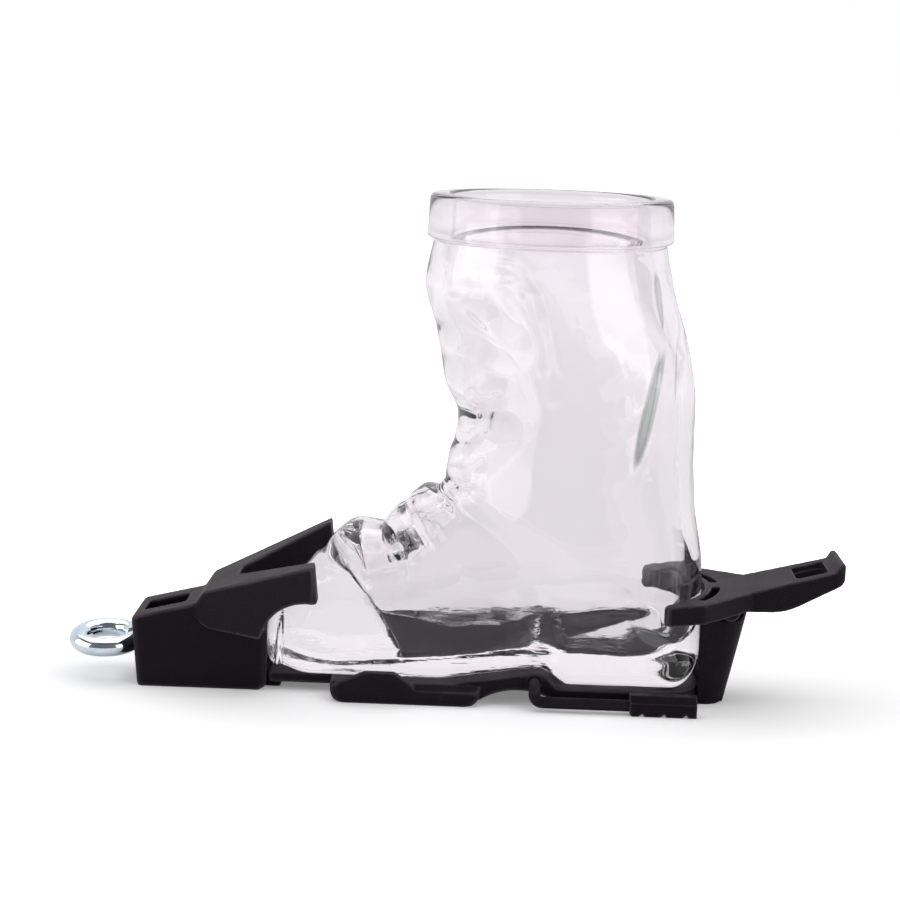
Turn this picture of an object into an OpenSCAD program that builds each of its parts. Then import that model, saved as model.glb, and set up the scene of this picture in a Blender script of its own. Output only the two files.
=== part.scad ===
// Ski boot shot glass standing in a toy ski binding
// Millimetres, +Z up, +X from the toe to the heel, origin under the middle of the whole

/* [Glass boot] */
// Height of the glass from its sole to its rim
glass_h = 78.5; // [74:0.5:84]
// Outer radius of the rim collar at the lip
rim_r = 19.4; // [18.5:0.1:20.5]
// Height of the rim collar
collar_h = 7; // [5:0.25:9]
// How far the collar stands out from the neck
collar_step = 0.8; // [0.5:0.1:1.4]
// Thickness of the glass at the leg
wall_t = 2.7; // [2.2:0.1:3.4]
// How much thicker the glass is behind the heel
heel_wall = 2.3; // [1.5:0.1:3.5]
// Thickness of the glass above the sole
floor_t = 5.5; // [5:0.25:7]
// How much deeper the cavity goes under the forefoot
keel_d = 1.8; // [0.5:0.1:2.2]
// Height of the shoulder in the cavity's heel above the sole
shoulder_h = 14; // [12:0.25:16]
// Share of the cavity's width that the shoulder takes
shoulder_cut = 0.45; // [0.3:0.05:0.5]
// Length of the toe in front of the leg axis
toe_reach = 44.4; // [42:0.2:47]
// Length of the heel behind the leg axis
heel_reach = 27.1; // [26:0.1:28.5]
// Height of the instep fold above the sole
instep_h = 31; // [29:0.25:33]
// Half width of the foot at the ball
ball_hw = 12.4; // [11.6:0.1:12.7]
// Half width of the foot at the heel
heel_hw = 12.6; // [11.8:0.1:13]
// Depth of the fold under the cuff
cuff_fold = 2.2; // [1:0.1:3]
// Rise of the sole at the arch
arch_h = 2.6; // [1.5:0.1:3.4]
// Place of the arch top behind the leg axis
arch_x = 0.8; // [0:0.2:2]

/* [Base plate] */
// Thickness of the base plate under the sole
base_t = 3.2; // [2.9:0.1:3.8]
// Length of the front pad
pad_l = 24.5; // [23:0.25:26]
// Height of the pad's edge ledge
ledge_h = 2.4; // [1.8:0.1:2.8]
// Height of the cheeks beside the forefoot
cheek_h = 5.3; // [4.2:0.1:6]
// Thickness of the cheeks
cheek_t = 1; // [0.8:0.1:1.2]
// Half width of the spine between toe piece and pad
spine_hw = 5.5; // [4.5:0.25:6.5]
// Half width of the heel platform
deck_hw = 9.6; // [8.8:0.1:9.8]
// Clearance under the spine
spine_z = 1.2; // [0.8:0.1:1.6]
// Thickness of the tongues that carry the toe piece and the heel post
tongue_t = 2.5; // [2:0.1:3]
// Half width of the tongues
tongue_hw = 4; // [3.6:0.1:4.4]

/* [Toe piece] */
// Gap between the toe of the glass and the toe piece
toe_gap = 0.6; // [0.4:0.1:1.2]
// Depth of the pocket for the toe in the block's back
toe_pocket = 1.3; // [0.8:0.1:1.5]
// Length of the toe block
block_l = 20.2; // [18:0.2:23]
// Lean of the block's front face
block_lean = 5; // [0:0.5:7]
// Half width of the toe block
block_hw = 6.6; // [6:0.1:7.2]
// Height of the toe block at its front
block_h = 11.7; // [10.8:0.1:13]
// Rise of the block's top toward the wings
block_rise = 2.5; // [1.5:0.1:3.2]
// Height of the slanted step onto the wings
riser_h = 2.3; // [1.5:0.1:3]
// Height of the wing tips
wing_h = 24.1; // [22.5:0.1:26]
// How far the wings reach behind the toe block
wing_reach = 9.8; // [8:0.1:11]
// How far the wing tips lean back at their lower edge
tip_lean = 0.5; // [0:0.1:0.8]
// Half width over the wing tips
wing_hw = 18.8; // [17.5:0.1:19.2]
// Half width of the notch between the wings at its root
notch_hw = 3.3; // [3.1:0.1:3.6]
// Spread of the notch for each millimetre of its length
notch_spread = 0.852; // [0.84:0.01:0.92]
// Radius of the scoop under each wing
scoop_r = 9.4; // [8.6:0.1:9.7]
// Length of the window in the block's top
window_l = 6.8; // [5:0.1:7.4]
// Half width of the window
window_hw = 2.9; // [2.2:0.1:3.4]
// Depth of the window
window_d = 3.4; // [2:0.1:3.8]

/* [Eye screw] */
// Radius of the eye's wire
wire_r = 1.55; // [1.3:0.05:1.6]
// Radius of the ring along the middle of its wire
ring_r = 4.55; // [4.2:0.05:5.1]
// Height of the ring's middle
ring_z = 6.2; // [5.6:0.1:6.6]
// Tilt of the ring about its own screw
ring_tilt = 6; // [0:1:12]
// Length of the shank in the toe block
shank_l = 11; // [8:0.25:12]
// Radius of the shank
shank_r = 1.15; // [1:0.05:1.3]

/* [Heel post] */
// Half width of the heel post
post_hw = 5; // [4.6:0.1:5.2]
// Depth of the heel post at its foot
post_l = 4.3; // [4:0.1:5.5]
// Lean of the post's back face
post_lean = 12; // [8:0.5:14]
// Height of the post under the lever
post_h = 14.1; // [13.4:0.1:14.2]
// Height of the stop rib at the back of the post
rib_h = 15.2; // [14.6:0.1:15.3]
// Gap between the heel of the glass and the post
post_gap = 0.55; // [0.45:0.05:0.9]

/* [Heel lever] */
// Distance of the pin behind the heel of the glass
pin_x = 4.4; // [4.2:0.1:4.8]
// Height of the pin
pin_z = 15.9; // [15.8:0.05:16.1]
// Radius of the pin
pin_r = 0.75; // [0.6:0.05:0.8]
// Radius of the knuckle around the pin
knuckle_r = 1.65; // [1.5:0.05:1.7]
// Half width of the knuckle
knuckle_hw = 3.2; // [2.6:0.1:3.3]
// Gap between the fork and the heel of the glass
fork_gap = 0.5; // [0.4:0.05:0.8]
// How far the fork reaches forward of the pin
fork_reach = 11.4; // [10:0.1:12.2]
// Half width over the fork's tips
fork_hw = 14.2; // [13.6:0.1:14.8]
// Thickness of the fork
fork_t = 3.2; // [2.9:0.1:3.4]
// Height of the fork's top at its tips
fork_top = 18.4; // [18.2:0.1:18.8]
// Slope of the fork's top
fork_slope = 4; // [3:0.5:6]
// Thickness of the spring lip around the heel
lip_t = 1.1; // [0.9:0.1:1.3]
// Width of the two curved slots behind the lip
slot_w = 1.4; // [1.1:0.1:1.6]
// Half width of the lever at its neck
lever_hw = 6.35; // [6.1:0.05:6.8]
// How much narrower each side of the lever is at its tail
lever_taper = 0.9; // [0.4:0.1:1]
// Length of the lever behind its neck
lever_l = 15.2; // [13:0.2:18]
// Slope of the lever's top
lever_slope = 15; // [12:0.5:17]
// Thickness of the lever's roof
roof_t = 1.3; // [1:0.1:1.5]
// Thickness of the lever's skirts
skirt_t = 1; // [0.8:0.05:1.05]
// Length of the pole slot in the lever
pole_slot_l = 5; // [4.4:0.1:6]
// Half width of the pole slot
pole_slot_hw = 3.7; // [3:0.1:4]

/* [Brake] */
// Radius of the brake wire
arm_r = 0.95; // [0.8:0.05:1]
// How far the brake wires stand outside the front pad
arm_gap = 0.46; // [0.3:0.02:0.9]
// Height of the brake wire above the floor
arm_z = 1.45; // [1.4:0.05:1.6]
// Rise from the brake wire to its axle
axle_rise = 2.5; // [2.4:0.05:2.6]
// Depth of the axle in the base plate
axle_in = 3; // [2.4:0.1:3.4]
// Length of the brake feet
foot_l = 10.8; // [9:0.2:12]
// Height of the brake feet
foot_h = 3.3; // [3:0.1:3.6]
// Thickness of the brake feet
foot_t = 2.4; // [2.1:0.1:2.6]
// Number of notches under each brake foot
foot_notches = 3; // [2:1:4]
// Depth of the notches
notch_d = 0.6; // [0.4:0.05:0.7]

/* [Screws] */
// Radius of the screw heads
head_r = 1.6; // [1.4:0.05:1.7]
// Radius of the screw shanks
screw_r = 0.8; // [0.7:0.05:0.9]
// Length of the screws
screw_l = 7; // [5.5:0.25:8]

/* [Hidden] */
$fn = 64;

// Fits between pieces
seat_gap = 0.1;
fit = 0.1;
run_fit = 0.05;
side_gap = 0.3;
cheek_gap = 0.35;
eye_sink = 0.05;
eps = 0.01;

// Heights of the glass
sole_z = base_t + seat_gap;
rim_z = sole_z + glass_h;
neck_z = rim_z - collar_h;
neck_r = rim_r - collar_step;
fold_z = sole_z + instep_h;
leg_h = neck_z - fold_z;

// Places along the length
toe_face = -(toe_reach + toe_gap);
block_back = toe_face + toe_pocket;
block_front = toe_face - block_l;
ridge_x = block_front + 0.47 * block_l;
wing_tip = toe_face + wing_reach;
tip_x = wing_tip + tip_lean;
ridge_z = block_h + block_rise;
plane_x = ridge_x + 1.5;
plane_z = ridge_z + riser_h;
wing_grade = (wing_h - plane_z) / (wing_tip - plane_x);
notch_x = toe_face - 3.9;
notch_z = 10.2;
ring_x = block_front + eye_sink - ring_r - wire_r;
pivot_x = heel_reach + pin_x;
heel_bend = heel_hw + 0.9;
heel_c = heel_reach - heel_bend;
fork_in = heel_bend + fork_gap;
fork_tip = pivot_x - fork_reach;
neck_x = pivot_x + 3.2;
tail_x = neck_x + lever_l;
pad_x = fwd(13.1);
pad_hw = 0.82 * ball_hw + cheek_gap + cheek_t;
heel_breast = arch_x + 3.8;
arch_front = arch_x - 15.8;
foot_x = heel_reach - 1;
elbow_x = arch_x - 0.8;
axle_z = arm_z + axle_rise;
arm_y = pad_hw + arm_gap;

// Middle of the whole length
front_end = ring_x - ring_r - wire_r;
back_end = tail_x;
shift_x = -(front_end + back_end) / 2;

// Foot stations forward of the leg keep their share of the toe's length
function fwd(d) = -20 - d * (toe_reach - 20) / 24.4;

// Stations of the glass: front x z, back x z, half width, roundness front and back, tuck, three walls,
// roundness of the cavity's keel and how far the keel's end is drawn back
stations = [
    [-neck_r, neck_z, neck_r, neck_z, neck_r, 2, 2, 0, wall_t, wall_t, wall_t, 2, 0],
    [-neck_r - 1.2, neck_z - 0.18 * leg_h, neck_r + 1.8, neck_z - 0.2 * leg_h, neck_r + 0.2,
        2, 2, 0, wall_t + 0.3, wall_t, wall_t, 2, 0],
    [-neck_r + 0.9, neck_z - 0.37 * leg_h, heel_reach - 4.1, neck_z - 0.41 * leg_h, neck_r - 0.2,
        2, 2, 0, wall_t + 0.2, wall_t, wall_t, 2, 0],
    [-neck_r + 2.7, neck_z - 0.585 * leg_h, heel_reach - 2.6, neck_z - 0.63 * leg_h, neck_r - 1.1,
        2, 2, 0, wall_t + 0.2, wall_t, wall_t, 2, 0],
    [-neck_r + 2.5 + cuff_fold, neck_z - 0.715 * leg_h, heel_reach - 2.5, neck_z - 0.815 * leg_h,
        neck_r - 1.9, 2, 2, 0, wall_t, wall_t + 0.1, wall_t, 2, 0],
    [-neck_r + 3.6, fold_z + 0.125 * leg_h, heel_reach - 1.9, fold_z - 1.5, neck_r - 3,
        2, 2.1, 0, wall_t, wall_t + 0.3, wall_t + 0.1, 2, 0],
    [-neck_r + 2.6, fold_z + 0.7, heel_reach - 0.2, sole_z + 0.6 * instep_h, heel_hw + 1.6,
        2, 2.3, 0, wall_t, wall_t + 0.34 * heel_wall, wall_t + 0.2, 2, 0],
    [-neck_r + 1.2, fold_z - 0.1, heel_reach, sole_z + 0.18 * instep_h, heel_hw + 0.4,
        2, 2.5, 0.02, wall_t + 0.2, wall_t + heel_wall, wall_t + 0.3, 2, 0],
    [-neck_r - 0.2, fold_z - 0.5, heel_reach - 5, sole_z, heel_hw + 0.2,
        2.1, 6.5, 0.12, wall_t + 0.3, floor_t + heel_wall, wall_t + 0.4, 2, 0],
    [-neck_r - 1.5, fold_z - 1.5, heel_breast + 0.4, sole_z, heel_hw,
        2.1, 8, 0.16, wall_t + 0.4, floor_t + 0.2, wall_t + 0.5, 1.7, 0],
    [fwd(1.6), fold_z - 2.6, arch_x, sole_z, ball_hw,
        2.2, 8, 0.18, wall_t + 0.4, floor_t - 0.5 * keel_d, wall_t + 0.5, 1.4, 0],
    [fwd(4.2), fold_z - 5.3, arch_x - 9.8, sole_z, ball_hw,
        2.2, 8, 0.21, wall_t + 0.5, floor_t - keel_d, wall_t + 0.6, 1.2, 0],
    [fwd(5.8), fold_z - 7.1, arch_front, sole_z, ball_hw,
        2.3, 8, 0.24, wall_t + 0.6, floor_t - keel_d, wall_t + 0.7, 1.15, 2],
    [fwd(9.6), fold_z - 6.7, fwd(6), sole_z, ball_hw,
        2.3, 8, 0.24, wall_t + 1, floor_t - keel_d, wall_t + 1, 1.15, 5.5],
    [fwd(15), fold_z - 10.9, fwd(16.2), sole_z, ball_hw - 0.5,
        2.3, 7, 0.2, wall_t, floor_t, wall_t, 1.15, 5.5],
    [fwd(20.8), fold_z - 17.5, fwd(21.4), sole_z + 0.7, ball_hw - 3.9,
        2.3, 4.5, 0.1, wall_t, floor_t, wall_t, 1.15, 5.5]];
toe_tip = [-toe_reach, sole_z + 5.6];
last_in = 13;
cave_tip = [fwd(8.5), sole_z + floor_t + 8];
outer_steps = 4;
inner_steps = 2;
seg = 48;

// Relief of the shell along straight strokes in side view: start x z, end x z, half width, height
// Places across are shares of the neck's radius, and heights are shares of the leg above the fold
relief = [
    [-0.6, 0.765, -0.23, 0.62, 2.2, 0.5], // upper strap
    [-0.83, 0.61, -0.39, 0.555, 1.8, 0.45], // second strap
    [-0.71, 0.47, -0.48, 0.46, 3, 0.5], // cuff lobe
    [-0.81, 0.36, -0.56, 0.366, 0.9, -0.6], [-0.56, 0.366, -0.39, 0.42, 0.9, -0.6], // cuff crease
    [-0.59, 0.894, -0.35, 0.884, 1.4, 0.35], [-0.35, 0.884, -0.156, 0.82, 1.4, 0.35], // tongue flap
    [-0.156, 0.82, -0.043, 0.64, 1.4, 0.35], [-0.043, 0.64, 0.048, 0.427, 1.4, 0.35],
    [-0.59, 0.311, -0.35, 0.296, 1.8, 0.45], [-0.62, 0.131, -0.42, 0.131, 4.2, 0.6], // ankle straps
    [-1.237, -0.2, -0.978, -0.062, 3, 0.7], // instep buckle
    [-1.667, -0.23, -1.505, -0.215, 4, 0.5], // toe buckle
    [0.903, 0.909, 0.88, 0.657, 1.5, -0.6], [0.88, 0.657, 0.774, 0.469, 1.5, -0.6], // back groove
    [0.774, 0.469, 0.656, 0.24, 1.5, -0.6]];

// Smooth run through the stations that never swings past one
function secant(i, c) = stations[i + 1][c] - stations[i][c];
function joined(a, b) = a * b <= 0 ? 0 : 2 * a * b / (a + b);
function slope(i, c) = i == 0 ? secant(0, c)
    : i == len(stations) - 1 ? secant(i - 1, c)
    : joined(secant(i - 1, c), secant(i, c));
function run(i, t, c) = t == 0 ? stations[i][c]
    : stations[i][c] * (2 * pow(t, 3) - 3 * t * t + 1) + slope(i, c) * (pow(t, 3) - 2 * t * t + t)
    + stations[i + 1][c] * (3 * t * t - 2 * pow(t, 3)) + slope(i + 1, c) * (pow(t, 3) - t * t);
function row_at(i, t) = [for (c = [0 : 12]) run(i, t, c)];

// One ring of points: middle, half chord toward the front, half width, two roundnesses, tuck at the back
function soft(v, n) = sign(v) * pow(abs(v), 2 / n);
function ring(m, h, w, na, nb, tuck) = [for (k = [0 : seg - 1])
    let (c = cos(360 * k / seg), s = sin(360 * k / seg), n = c >= 0 ? na : nb, a = soft(c, n))
    [m[0] + h[0] * a, w * soft(s, n) * (c < 0 ? 1 - tuck * a * a : 1), m[1] + h[1] * a]];
function outer_ring(r) = ring([r[0] + r[2], r[1] + r[3]] / 2, [r[0] - r[2], r[1] - r[3]] / 2,
    r[4], r[5], r[6], r[7]);
function trim_row(r) =
    let (d = [r[2] - r[0], r[3] - r[1]], u = d / norm(d))
    [r[0] + u[0] * r[8], r[1] + u[1] * r[8], r[2] - u[0] * r[9] + r[12], r[3] - u[1] * r[9],
        r[4] - r[10], 2, r[11], 0];
function level_ring(rad, z) = ring([0, z], [-rad, 0], rad, 2, 2, 0);
function nose_ring(r, tip, a) =
    let (m = [r[0] + r[2], r[1] + r[3]] / 2, h = [r[0] - r[2], r[1] - r[3]] / 2)
    ring(m + (tip - m) * sin(a), h * cos(a), r[4] * cos(a), r[5], r[6], r[7]);

// Lift of the sole along the arch, which fades out a reach above the sole
function lift(x) = lookup(x, [[arch_front, 0], [arch_x - 9.8, 0.42 * arch_h], [arch_x, arch_h],
    [arch_x + 0.4, arch_h], [arch_x + 4.2, 0]]);
function arched(points, reach) = [for (p = points)
    let (t = max(0, min(1, (p[2] - sole_z) / reach)))
    [p[0], p[1], p[2] + lift(p[0]) * pow(1 - t, 2) * (1 + 2 * t)]];

// Shoulder in the cavity's heel: its width falls between an upper edge and a slanted lower edge
function shouldered(points) = [for (p = points)
    let (top = sole_z + shoulder_h,
        low = sole_z + shoulder_h * lookup(p[0], [[-3, 0.36], [7, 0.6], [19, 0.88]]),
        cut = shoulder_cut * lookup(p[0], [[-3, 0], [1.5, 0.67], [7, 1], [14, 0.9], [19, 0]]),
        t = max(0, min(1, (top - p[2]) / (top - low))))
    [p[0], p[1] * (1 - cut * t * t * (3 - 2 * t)), p[2]]];

function stroke(r, p) =
    let (a = [r[0] * neck_r, fold_z + r[1] * leg_h], d = [r[2] * neck_r, fold_z + r[3] * leg_h] - a,
        q = [p[0], p[2]] - a, t = max(0, min(1, q * d / (d * d))))
    r[5] * exp(-pow(norm(q - t * d) / r[4], 4));
function embossed(points) =
    let (m = (points[0] + points[seg / 2]) / 2)
    [for (p = points) let (rise = [for (r = relief) stroke(r, p)])
        p + (max(0, max(rise)) + min(0, min(rise))) * (p - m) / norm(p - m)];

outer_rings = [for (i = [0 : len(stations) - 2], j = [0 : outer_steps - 1])
    embossed(arched(outer_ring(row_at(i, j / outer_steps)), 7))];
nose_rings = [for (a = [0, 25, 50, 72]) nose_ring(stations[len(stations) - 1], toe_tip, a)];
inner_rows = [for (i = [0 : last_in - 1], j = [0 : inner_steps - 1]) trim_row(row_at(i, j / inner_steps))];
cave_rings = [for (a = [0, 30, 58, 78]) nose_ring(trim_row(stations[last_in]), cave_tip, a)];
collar_rings = [level_ring(rim_r + 0.1, neck_z), level_ring(rim_r + 0.36, neck_z + 0.5),
    level_ring(rim_r + 0.05, rim_z - 0.7), level_ring(rim_r - 0.4, rim_z - 0.1)];
mouth_r = neck_r - wall_t;
lip_rings = [level_ring(rim_r - 0.9, rim_z), level_ring(mouth_r + 1, rim_z),
    level_ring(mouth_r + 0.4, rim_z - 0.4), level_ring(mouth_r + 0.1, rim_z - 1.4)];

function backward(v) = [for (i = [len(v) - 1 : -1 : 0]) v[i]];
glass_rings = concat(backward(nose_rings), backward(outer_rings), collar_rings, lip_rings,
    [for (r = inner_rows) shouldered(arched(outer_ring(r), 24))], [for (r = cave_rings) arched(r, 24)]);

// A closed skin over a row of rings with a point at each end
module skin(rings, first, last) {
    count = len(rings);
    points = concat([[first[0], 0, first[1]]], [for (r = rings, p = r) p], [[last[0], 0, last[1]]]);
    start = [for (k = [0 : seg - 1]) [0, 1 + (k + 1) % seg, 1 + k]];
    sides = [for (i = [0 : count - 2], k = [0 : seg - 1])
        let (a = 1 + i * seg + k, b = 1 + i * seg + (k + 1) % seg)
        each [[a, b, b + seg], [a, b + seg, a + seg]]];
    end = [for (k = [0 : seg - 1])
        [1 + (count - 1) * seg + k, 1 + (count - 1) * seg + (k + 1) % seg, 1 + count * seg]];
    polyhedron(points = points, faces = concat(start, sides, end), convexity = 6);
}

// Helpers
function spoke(a) = [cos(a), sin(a)];
function arc(c, r, a, b, n = 10) = [for (i = [0 : n]) c + r * spoke(a + (b - a) * i / n)];
function round_rect(x0, x1, hw, r0, r1) = concat(
    arc([x0 + r0, -hw + r0], r0, 180, 270), arc([x1 - r1, -hw + r1], r1, 270, 360),
    arc([x1 - r1, hw - r1], r1, 0, 90), arc([x0 + r0, hw - r0], r0, 90, 180));
module placed() { translate([shift_x, 0, 0]) children(); }
module side_prism(points, y0, y1) {
    translate([0, y1, 0])
        rotate([90, 0, 0])
            linear_extrude(y1 - y0)
                polygon(points);
}
module plan_prism(points, z0, z1) {
    translate([0, 0, z0])
        linear_extrude(z1 - z0)
            polygon(points);
}
module both_sides() {
    children();
    mirror([0, 1, 0]) children();
}
module rod_y(x, z, r, hw) { translate([x, -hw, z]) rotate([-90, 0, 0]) cylinder(r = r, h = 2 * hw); }

// Glass boot: one lofted shell with a collar, a deep cavity and a thick sole
module glass_boot() {
    color("lavender")
        placed()
            skin(glass_rings, toe_tip, cave_tip);
}

// Toe piece: block and two spreading wings in one moulding
function plane_at(x) = plane_z + wing_grade * (x - plane_x);
function front_at(z) = block_front - z * tan(block_lean);
block_side = [[block_front, 0], [block_back - 1.5, 0], [block_back - 0.45, 0.45], [block_back, 1.5],
    [block_back, plane_at(block_back)], [plane_x, plane_z], [ridge_x, ridge_z],
    [front_at(block_h) + 0.4, block_h], [front_at(block_h - 0.5), block_h - 0.5]];
pocket_r = (pow(block_hw - 0.6, 2) + pow(toe_pocket, 2)) / (2 * toe_pocket);
scoop_c = [wing_tip + 0.2, plane_at(wing_tip) - 15.6];
scoop_end = 168;
wing_low = scoop_c[1] + scoop_r * sin(scoop_end);
wing_bend = 3;
wing_side = concat(arc([ridge_x + wing_bend, wing_low + wing_bend], wing_bend, 270, 180),
    [[ridge_x, ridge_z], [plane_x, plane_z], [wing_tip - 0.2, plane_at(wing_tip - 0.2)],
    [tip_x, scoop_c[1] + scoop_r]], arc(scoop_c, scoop_r, 92, scoop_end, 14));
wing_plan = [[ridge_x, -block_hw], [tip_x - 0.8, -wing_hw], [tip_x, -wing_hw + 0.6],
    [tip_x, wing_hw - 0.6], [tip_x - 0.8, wing_hw], [ridge_x, block_hw]];
notch_end = notch_hw + notch_spread * (tip_x + 1 - notch_x);
notch_plan = concat(arc([notch_x + 1, notch_hw - 1], 1, 132, 180, 6),
    arc([notch_x + 1, 1 - notch_hw], 1, 180, 228, 6),
    [[tip_x + 1, -notch_end], [tip_x + 1, notch_end]]);
toe_screw_x = toe_face - 7;
toe_screw_y = 2.2;
module toe_piece() {
    color("#211f24")
        placed()
            difference() {
                union() {
                    intersection() {
                        side_prism(block_side, -block_hw, block_hw);
                        translate([block_front, 0, 0])
                            rotate([0, -block_lean, 0])
                                plan_prism(round_rect(0, 2 * block_l, block_hw, 1.1, 1.1), -5, 2 * wing_h);
                        plan_prism(round_rect(block_front - 5, block_back, block_hw, 1.2, 1.2), 0, wing_h);
                    }
                    intersection() {
                        side_prism(wing_side, -wing_hw, wing_hw);
                        plan_prism(wing_plan, 0, wing_h + 1);
                    }
                }
                plan_prism(notch_plan, notch_z, wing_h + 1);
                translate([toe_face + pocket_r, 0, -1])
                    cylinder(r = pocket_r, h = notch_z + 1.5, $fn = 96);
                eye_ring(wire_r + fit);
                translate([block_front + 0.7, 0, block_h - window_d])
                    linear_extrude(window_d + block_rise)
                        polygon(round_rect(0, window_l, window_hw, 0.7, 0.7));
                translate([block_front - 1, 0, ring_z])
                    rotate([0, 90, 0])
                        cylinder(r = shank_r + run_fit, h = shank_l + 1.2);
                translate([toe_face - 14, -tongue_hw - fit, -1])
                    cube([15 + toe_pocket, 2 * (tongue_hw + fit), tongue_t + fit + 1]);
                both_sides()
                    translate([toe_screw_x, toe_screw_y, 0])
                        cylinder(r = screw_r + run_fit, h = screw_l + 0.3);
            }
}

// Eye screw: wire ring on a shank that goes into the block's front, bedded in it at the neck
module eye_ring(r) {
    translate([ring_x, 0, ring_z])
        rotate([ring_tilt, 0, 0])
            rotate_extrude()
                translate([ring_r, 0])
                    circle(r = r, $fn = 40);
}
module eye_screw() {
    color("gainsboro")
        placed() {
            eye_ring(wire_r);
            translate([ring_x + ring_r, 0, ring_z])
                rotate([0, 90, 0])
                    cylinder(r = shank_r, h = wire_r + shank_l);
        }
}

// Base plate: front pad with cheeks, arch bridge, heel deck and two tongues
bridge_side = concat([[arch_front, base_t - 1], [arch_front, base_t], [arch_front + 2.2, base_t],
    [arch_x - 9.8, base_t + 0.36 * arch_h], [arch_x - 4, base_t + 0.75 * arch_h],
    [arch_x, base_t + 0.885 * arch_h], [arch_x + 1.3, base_t + 0.68 * arch_h],
    [arch_x + 2.3, base_t + 0.25 * arch_h], [arch_x + 3, base_t],
    [heel_breast + 2, base_t], [heel_breast + 2, 0.6]],
    arc([arch_x - 3.3, -9.1], 11.6, 56, 124, 12), [[pad_x + pad_l - 3, 0.5], [arch_front, 0.5]]);
cheek_side = [[pad_x, 1], [pad_x, 2.6], [pad_x + 0.05 * pad_l, 3.3], [pad_x + 0.23 * pad_l, cheek_h],
    [pad_x + 0.43 * pad_l, cheek_h], [pad_x + 0.54 * pad_l, 3.5], [pad_x + 0.57 * pad_l, ledge_h],
    [pad_x + 0.57 * pad_l, 1]];
pad_end = [[-pad_hw, 0], [pad_hw, 0], [pad_hw, ledge_h], [pad_hw - 1.4, base_t], [-pad_hw + 1.4, base_t],
    [-pad_hw, ledge_h]];
pad_side = concat([[pad_x, cheek_h + 1]], arc([pad_x + 2, 2], 2, 180, 270),
    arc([pad_x + pad_l - 2.4, 2.4], 2.4, 270, 345), [[pad_x + pad_l, cheek_h + 1]]);
heel_screw_x = heel_reach + 2;
module base_plate() {
    color("#242227")
        placed()
            difference() {
                union() {
                    intersection() {
                        union() {
                            translate([pad_x, 0, 0])
                                rotate([90, 0, 90])
                                    linear_extrude(pad_l)
                                        polygon(pad_end);
                            both_sides()
                                side_prism(cheek_side, pad_hw - cheek_t, pad_hw);
                        }
                        side_prism(pad_side, -pad_hw, pad_hw);
                        plan_prism(round_rect(pad_x, pad_x + pad_l, pad_hw, 1.6, 1.2), 0, cheek_h + 1);
                    }
                    plan_prism(round_rect(block_back + fit, pad_x + 2, spine_hw, 0.3, 0.3), spine_z, base_t);
                    plan_prism(round_rect(toe_face - 13.8, block_back + 2, tongue_hw, 1, 0.3), 0, tongue_t);
                    side_prism(bridge_side, -deck_hw, deck_hw);
                    plan_prism(round_rect(heel_breast, heel_reach, deck_hw, 0.3, 8), 0, base_t);
                    plan_prism(round_rect(heel_breast + 2, heel_reach + 3.7, tongue_hw, 0.3, 1), 0, tongue_t);
                }
                both_sides() {
                    translate([toe_screw_x, toe_screw_y, -eps])
                        cylinder(r = screw_r + fit, h = tongue_t + 1);
                    translate([toe_screw_x, toe_screw_y, -eps])
                        cylinder(r1 = head_r + fit, r2 = screw_r + fit, h = head_r - screw_r);
                    translate([elbow_x, -deck_hw - 1, axle_z])
                        rotate([-90, 0, 0])
                            cylinder(r = arm_r + run_fit, h = axle_in + 1.2);
                }
                translate([heel_screw_x, 0, -eps])
                    cylinder(r = screw_r + fit, h = tongue_t + 1);
                translate([heel_screw_x, 0, -eps])
                    cylinder(r1 = head_r + fit, r2 = screw_r + fit, h = head_r - screw_r);
            }
}

// Heel post: leaning column with a hollow front, a stop rib and the knuckle for the pin
post_front = heel_c + 8;
post_back = heel_reach + post_l;
back_at_top = post_back + rib_h * tan(post_lean);
rib_x = pivot_x + 2.15;
post_side = [[post_front, 0], [post_back, 0], [back_at_top, rib_h], [rib_x, rib_h], [rib_x, post_h],
    [post_front, post_h]];
knuckle_side = concat([[pivot_x - knuckle_r, post_h - 1], [pivot_x + knuckle_r, post_h - 1]],
    arc([pivot_x, pin_z], knuckle_r, 0, 180, 20));
module heel_post() {
    color("#1f1d22")
        placed()
            difference() {
                union() {
                    intersection() {
                        side_prism(post_side, -post_hw, post_hw);
                        translate([post_back, 0, 0])
                            rotate([0, post_lean, 0])
                                plan_prism(round_rect(-20, 0, post_hw, 0.5, 3.4), -3, 20);
                    }
                    side_prism(knuckle_side, -knuckle_hw, knuckle_hw);
                }
                translate([heel_c, 0, -1])
                    cylinder(r = heel_bend + post_gap, h = 30, $fn = 96);
                rod_y(pivot_x, pin_z, pin_r, 8);
                translate([heel_c, -tongue_hw - fit, -1])
                    cube([heel_reach + 3.7 + fit - heel_c, 2 * (tongue_hw + fit), tongue_t + fit + 1]);
                translate([heel_screw_x, 0, 0])
                    cylinder(r = screw_r + run_fit, h = screw_l + 0.3);
            }
}

// Heel lever: fork with a spring lip in front of the pin and a hollow tail behind it
fork_grade = tan(fork_slope);
function fork_z(x) = fork_top + fork_grade * (x - fork_tip);
neck_top = fork_z(neck_x);
lever_grade = tan(lever_slope);
function tail_z(x) = neck_top + lever_grade * (x - neck_x);
fork_side = [[fork_tip, fork_top - fork_t + 0.3], [fork_tip + 0.3, fork_top - fork_t],
    [pivot_x - 1.4, fork_z(pivot_x - 1.4) - fork_t], [neck_x, pin_z + 0.5], [neck_x, neck_top],
    [fork_tip + 0.5, fork_z(fork_tip + 0.5)], [fork_tip, fork_top - 0.4]];
fork_plan = concat([[fork_tip, -fork_hw + 0.8], [fork_tip + 0.8, -fork_hw], [heel_reach - 0.4, -fork_hw + 1],
    [neck_x, -lever_hw]], [[neck_x, lever_hw], [heel_reach - 0.4, fork_hw - 1], [fork_tip + 0.8, fork_hw],
    [fork_tip, fork_hw - 0.8]]);
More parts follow.
